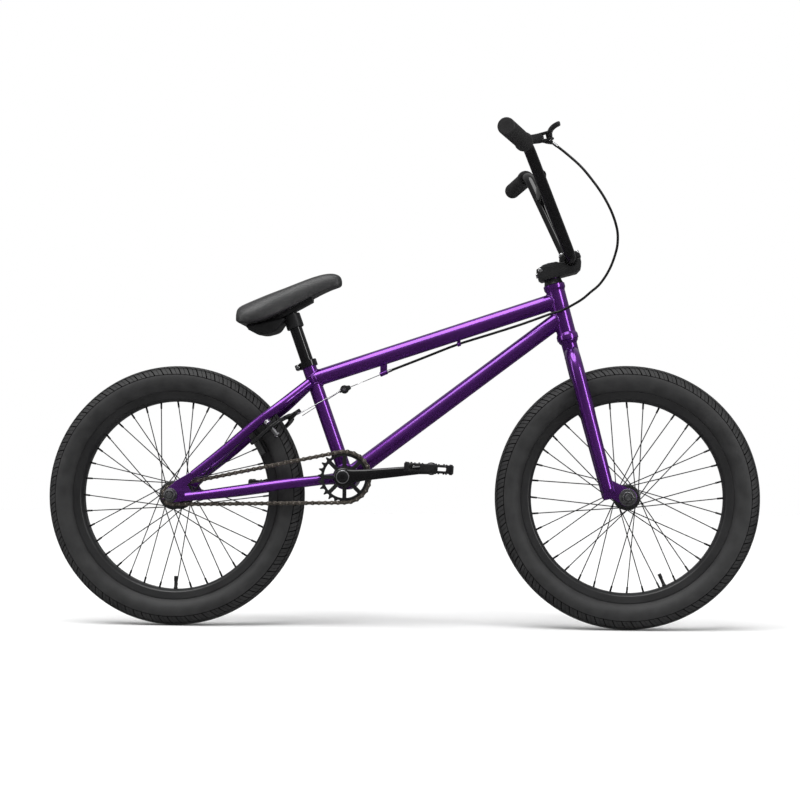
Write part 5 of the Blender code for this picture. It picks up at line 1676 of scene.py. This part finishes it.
def saddle():
    work = bmesh.new()
    rings_mesh(work, [saddle_ring(*station) for station in SADDLE])
    bmesh.ops.recalc_face_normals(work, faces=work.faces)
    mesh = bpy.data.meshes.new("cage")
    work.to_mesh(mesh)
    work.free()
    cage = bpy.data.objects.new("cage", mesh)
    bpy.context.scene.collection.objects.link(cage)
    soft = cage.modifiers.new("Soften", "SUBSURF")
    soft.levels = 4
    shape = evaluated_mesh(cage)
    bpy.data.objects.remove(cage)
    cover = new_piece("saddle_padded_cover", shape, LEATHER, 60)
    shown(cover, "seat", "saddle_leather", "saddle_cover")

    buried, drop = 0.0040, 0.0085
    stops = [0.1450 + 0.0065 * i for i in range(21)]
    upper = [(x, underside(x) + buried) for x in stops]
    lower = [(x, underside(x) - drop) for x in reversed(stops)]
    flat = side_plane(Vector((REAR_AXLE.x, 0, 0)))
    base = plate("pan", PLASTIC, [(upper + lower)[::-1]], 0.030, flat, 0.001)
    tail_outline = rounded_outline(
        [
            (0.1400, 0.6020), (0.1560, 0.5880), (0.1800, 0.5835), (0.2060, 0.5905),
            (0.2240, 0.6180), (0.1900, 0.6110), (0.1650, 0.6045),
        ],
        0.008
    )
    tail = plate("tail", PLASTIC, [tail_outline], 0.062, flat, 0.003)
    collar = lathe(
        "collar", PLASTIC, edged(-0.030, -0.002, 0.0175, 0.001, SEATPOST_RADIUS + GAP),
        along(POST_TOP, SEAT_UP), 48
    )
    shown(
        fused("saddle_pan_and_socket", [base, tail, collar]), "seat", "black_plastic", "saddle_base"
    )
    post = lathe(
        "seatpost_tube", GLOSS, edged(-0.225, 0, SEATPOST_RADIUS, 0.0006, 0.0105),
        along(POST_TOP, SEAT_UP), 56
    )
    shown(post, "seat", "black_gloss", "seatpost")


# ---------------------------------------------------------------- studio

OVERHEAD = 2.7
SOFTBOXES = (  # name, place, target, width, height, watts
    ("front_strip", (2.3, -1.7, 1.1), (0.4, 0, 0.5), 0.5, 2.0, 26),
    ("rear_strip", (-2.4, -1.2, 1.2), (-0.3, 0, 0.5), 0.5, 2.0, 12),
)


def studio():
    scene = bpy.context.scene
    floor_mesh = bpy.data.meshes.new("floor")
    size = 12.0
    floor_mesh.from_pydata(
        [(-size, -size, 0), (size, -size, 0), (size, size, 0), (-size, size, 0)], [], [(0, 1, 2, 3)]
    )
    floor = bpy.data.objects.new("floor", floor_mesh)
    pale = bpy.data.materials.new("pale_floor")
    pale.use_nodes = True
    shader = pale.node_tree.nodes["Principled BSDF"]
    connect(pale.node_tree, shader, {"Base Color": (0.93, 0.93, 0.93, 1), "Roughness": 0.9})
    floor_mesh.materials.append(pale)
    scene.collection.objects.link(floor)
    floor.location.z = -0.0005
    floor.visible_glossy = False

    scene.view_settings.view_transform = "Standard"
    scene.world = studio_world()
    for name, spot, target, wide, high, power in SOFTBOXES:
        lamp = bpy.data.lights.new(name, "AREA")
        lamp.shape = "RECTANGLE"
        lamp.size, lamp.size_y = wide, high
        lamp.energy = power
        place_lamp(name, lamp, spot, target)
    sun = bpy.data.lights.new("overhead", "SUN")
    sun.energy = OVERHEAD
    sun.angle = math.radians(50)
    place_lamp("overhead", sun, (-0.5, -0.9, 2.2), (0, 0, 0))


def place_lamp(name, lamp, spot, target):
    holder = bpy.data.objects.new(name, lamp)
    holder.location = spot
    holder.rotation_euler = (Vector(spot) - Vector(target)).to_track_quat("Z", "Y").to_euler()
    bpy.context.scene.collection.objects.link(holder)


def studio_world():
    """A white backdrop. What it sheds on the object is dim at the horizon and brighter overhead."""
    world = bpy.data.worlds.new("studio")
    world.use_nodes = True
    tree = world.node_tree
    backdrop = tree.nodes["Background"]
    connect(tree, backdrop, {"Color": (1, 1, 1, 1), "Strength": 1.0})
    place = added(tree, "TexCoord").outputs["Generated"]
    rise = added(tree, "MapRange", {
        "From Min": 0.0, "From Max": 0.8, "To Min": 0.10, "To Max": 0.50,
        "Value": added(tree, "SeparateXYZ", {"Vector": place}).outputs["Z"],
    })
    shed = added(tree, "Background", {"Color": (1, 1, 1, 1), "Strength": rise.outputs["Result"]})
    choice = added(tree, "MixShader", {"Fac": added(tree, "LightPath").outputs["Is Camera Ray"]})
    tree.links.new(shed.outputs["Background"], choice.inputs[1])
    tree.links.new(backdrop.outputs["Background"], choice.inputs[2])
    connect(tree, tree.nodes["World Output"], {"Surface": choice.outputs["Shader"]})
    return world


def camera():
    yaw, pitch, roll = math.radians(4.578), math.radians(2.656), math.radians(0.277)
    out = Vector(
        (-math.sin(yaw) * math.cos(pitch), math.cos(yaw) * math.cos(pitch), math.sin(pitch))
    )
    right = Vector((math.cos(yaw), math.sin(yaw), 0))
    up = right.cross(out)
    level_right = right * math.cos(roll) + up * math.sin(roll)
    level_up = up * math.cos(roll) - right * math.sin(roll)
    lens = bpy.data.cameras.new("camera")
    lens.lens, lens.sensor_width = 78.62, 36
    holder = bpy.data.objects.new("camera", lens)
    turned = Matrix((level_right, level_up, -out)).transposed().to_4x4()
    holder.matrix_world = Matrix.Translation((0.2801, -3.4918, 0.2912)) @ turned
    bpy.context.scene.collection.objects.link(holder)
    bpy.context.scene.camera = holder


def build():
    frame_tubes()
    stays()
    seat_clamp()
    welds()
    fork()
    headset()
    stem()
    handlebar()
    grips()
    for wheel, axle, valve in (("front", FRONT_AXLE, -67), ("rear", REAR_AXLE, -90)):
        tyre(wheel, axle)
        rim(wheel, axle, valve)
    spokes("front", FRONT_AXLE, {1: (0.0225, 0.0323), -1: (0.0225, 0.0323)})
    spokes("rear", REAR_AXLE, {1: (0.0255, 0.0324), -1: (0.0255, 0.0306)})
    hubs()
    axle_nuts("front", FRONT_AXLE, 0.050, 0.005, 0.0172, "steering")
    axle_nuts("rear", REAR_AXLE, 0.0555, PLATE, 0.0140, "frame")
    chain()
    sprocket()
    driver()
    cranks()
    pedals()
    brake_arms()
    brake_pads()
    hanger_and_wires()
    housing()
    lever_bracket()
    lever_blade()
    saddle()
    studio()
    camera()


build()
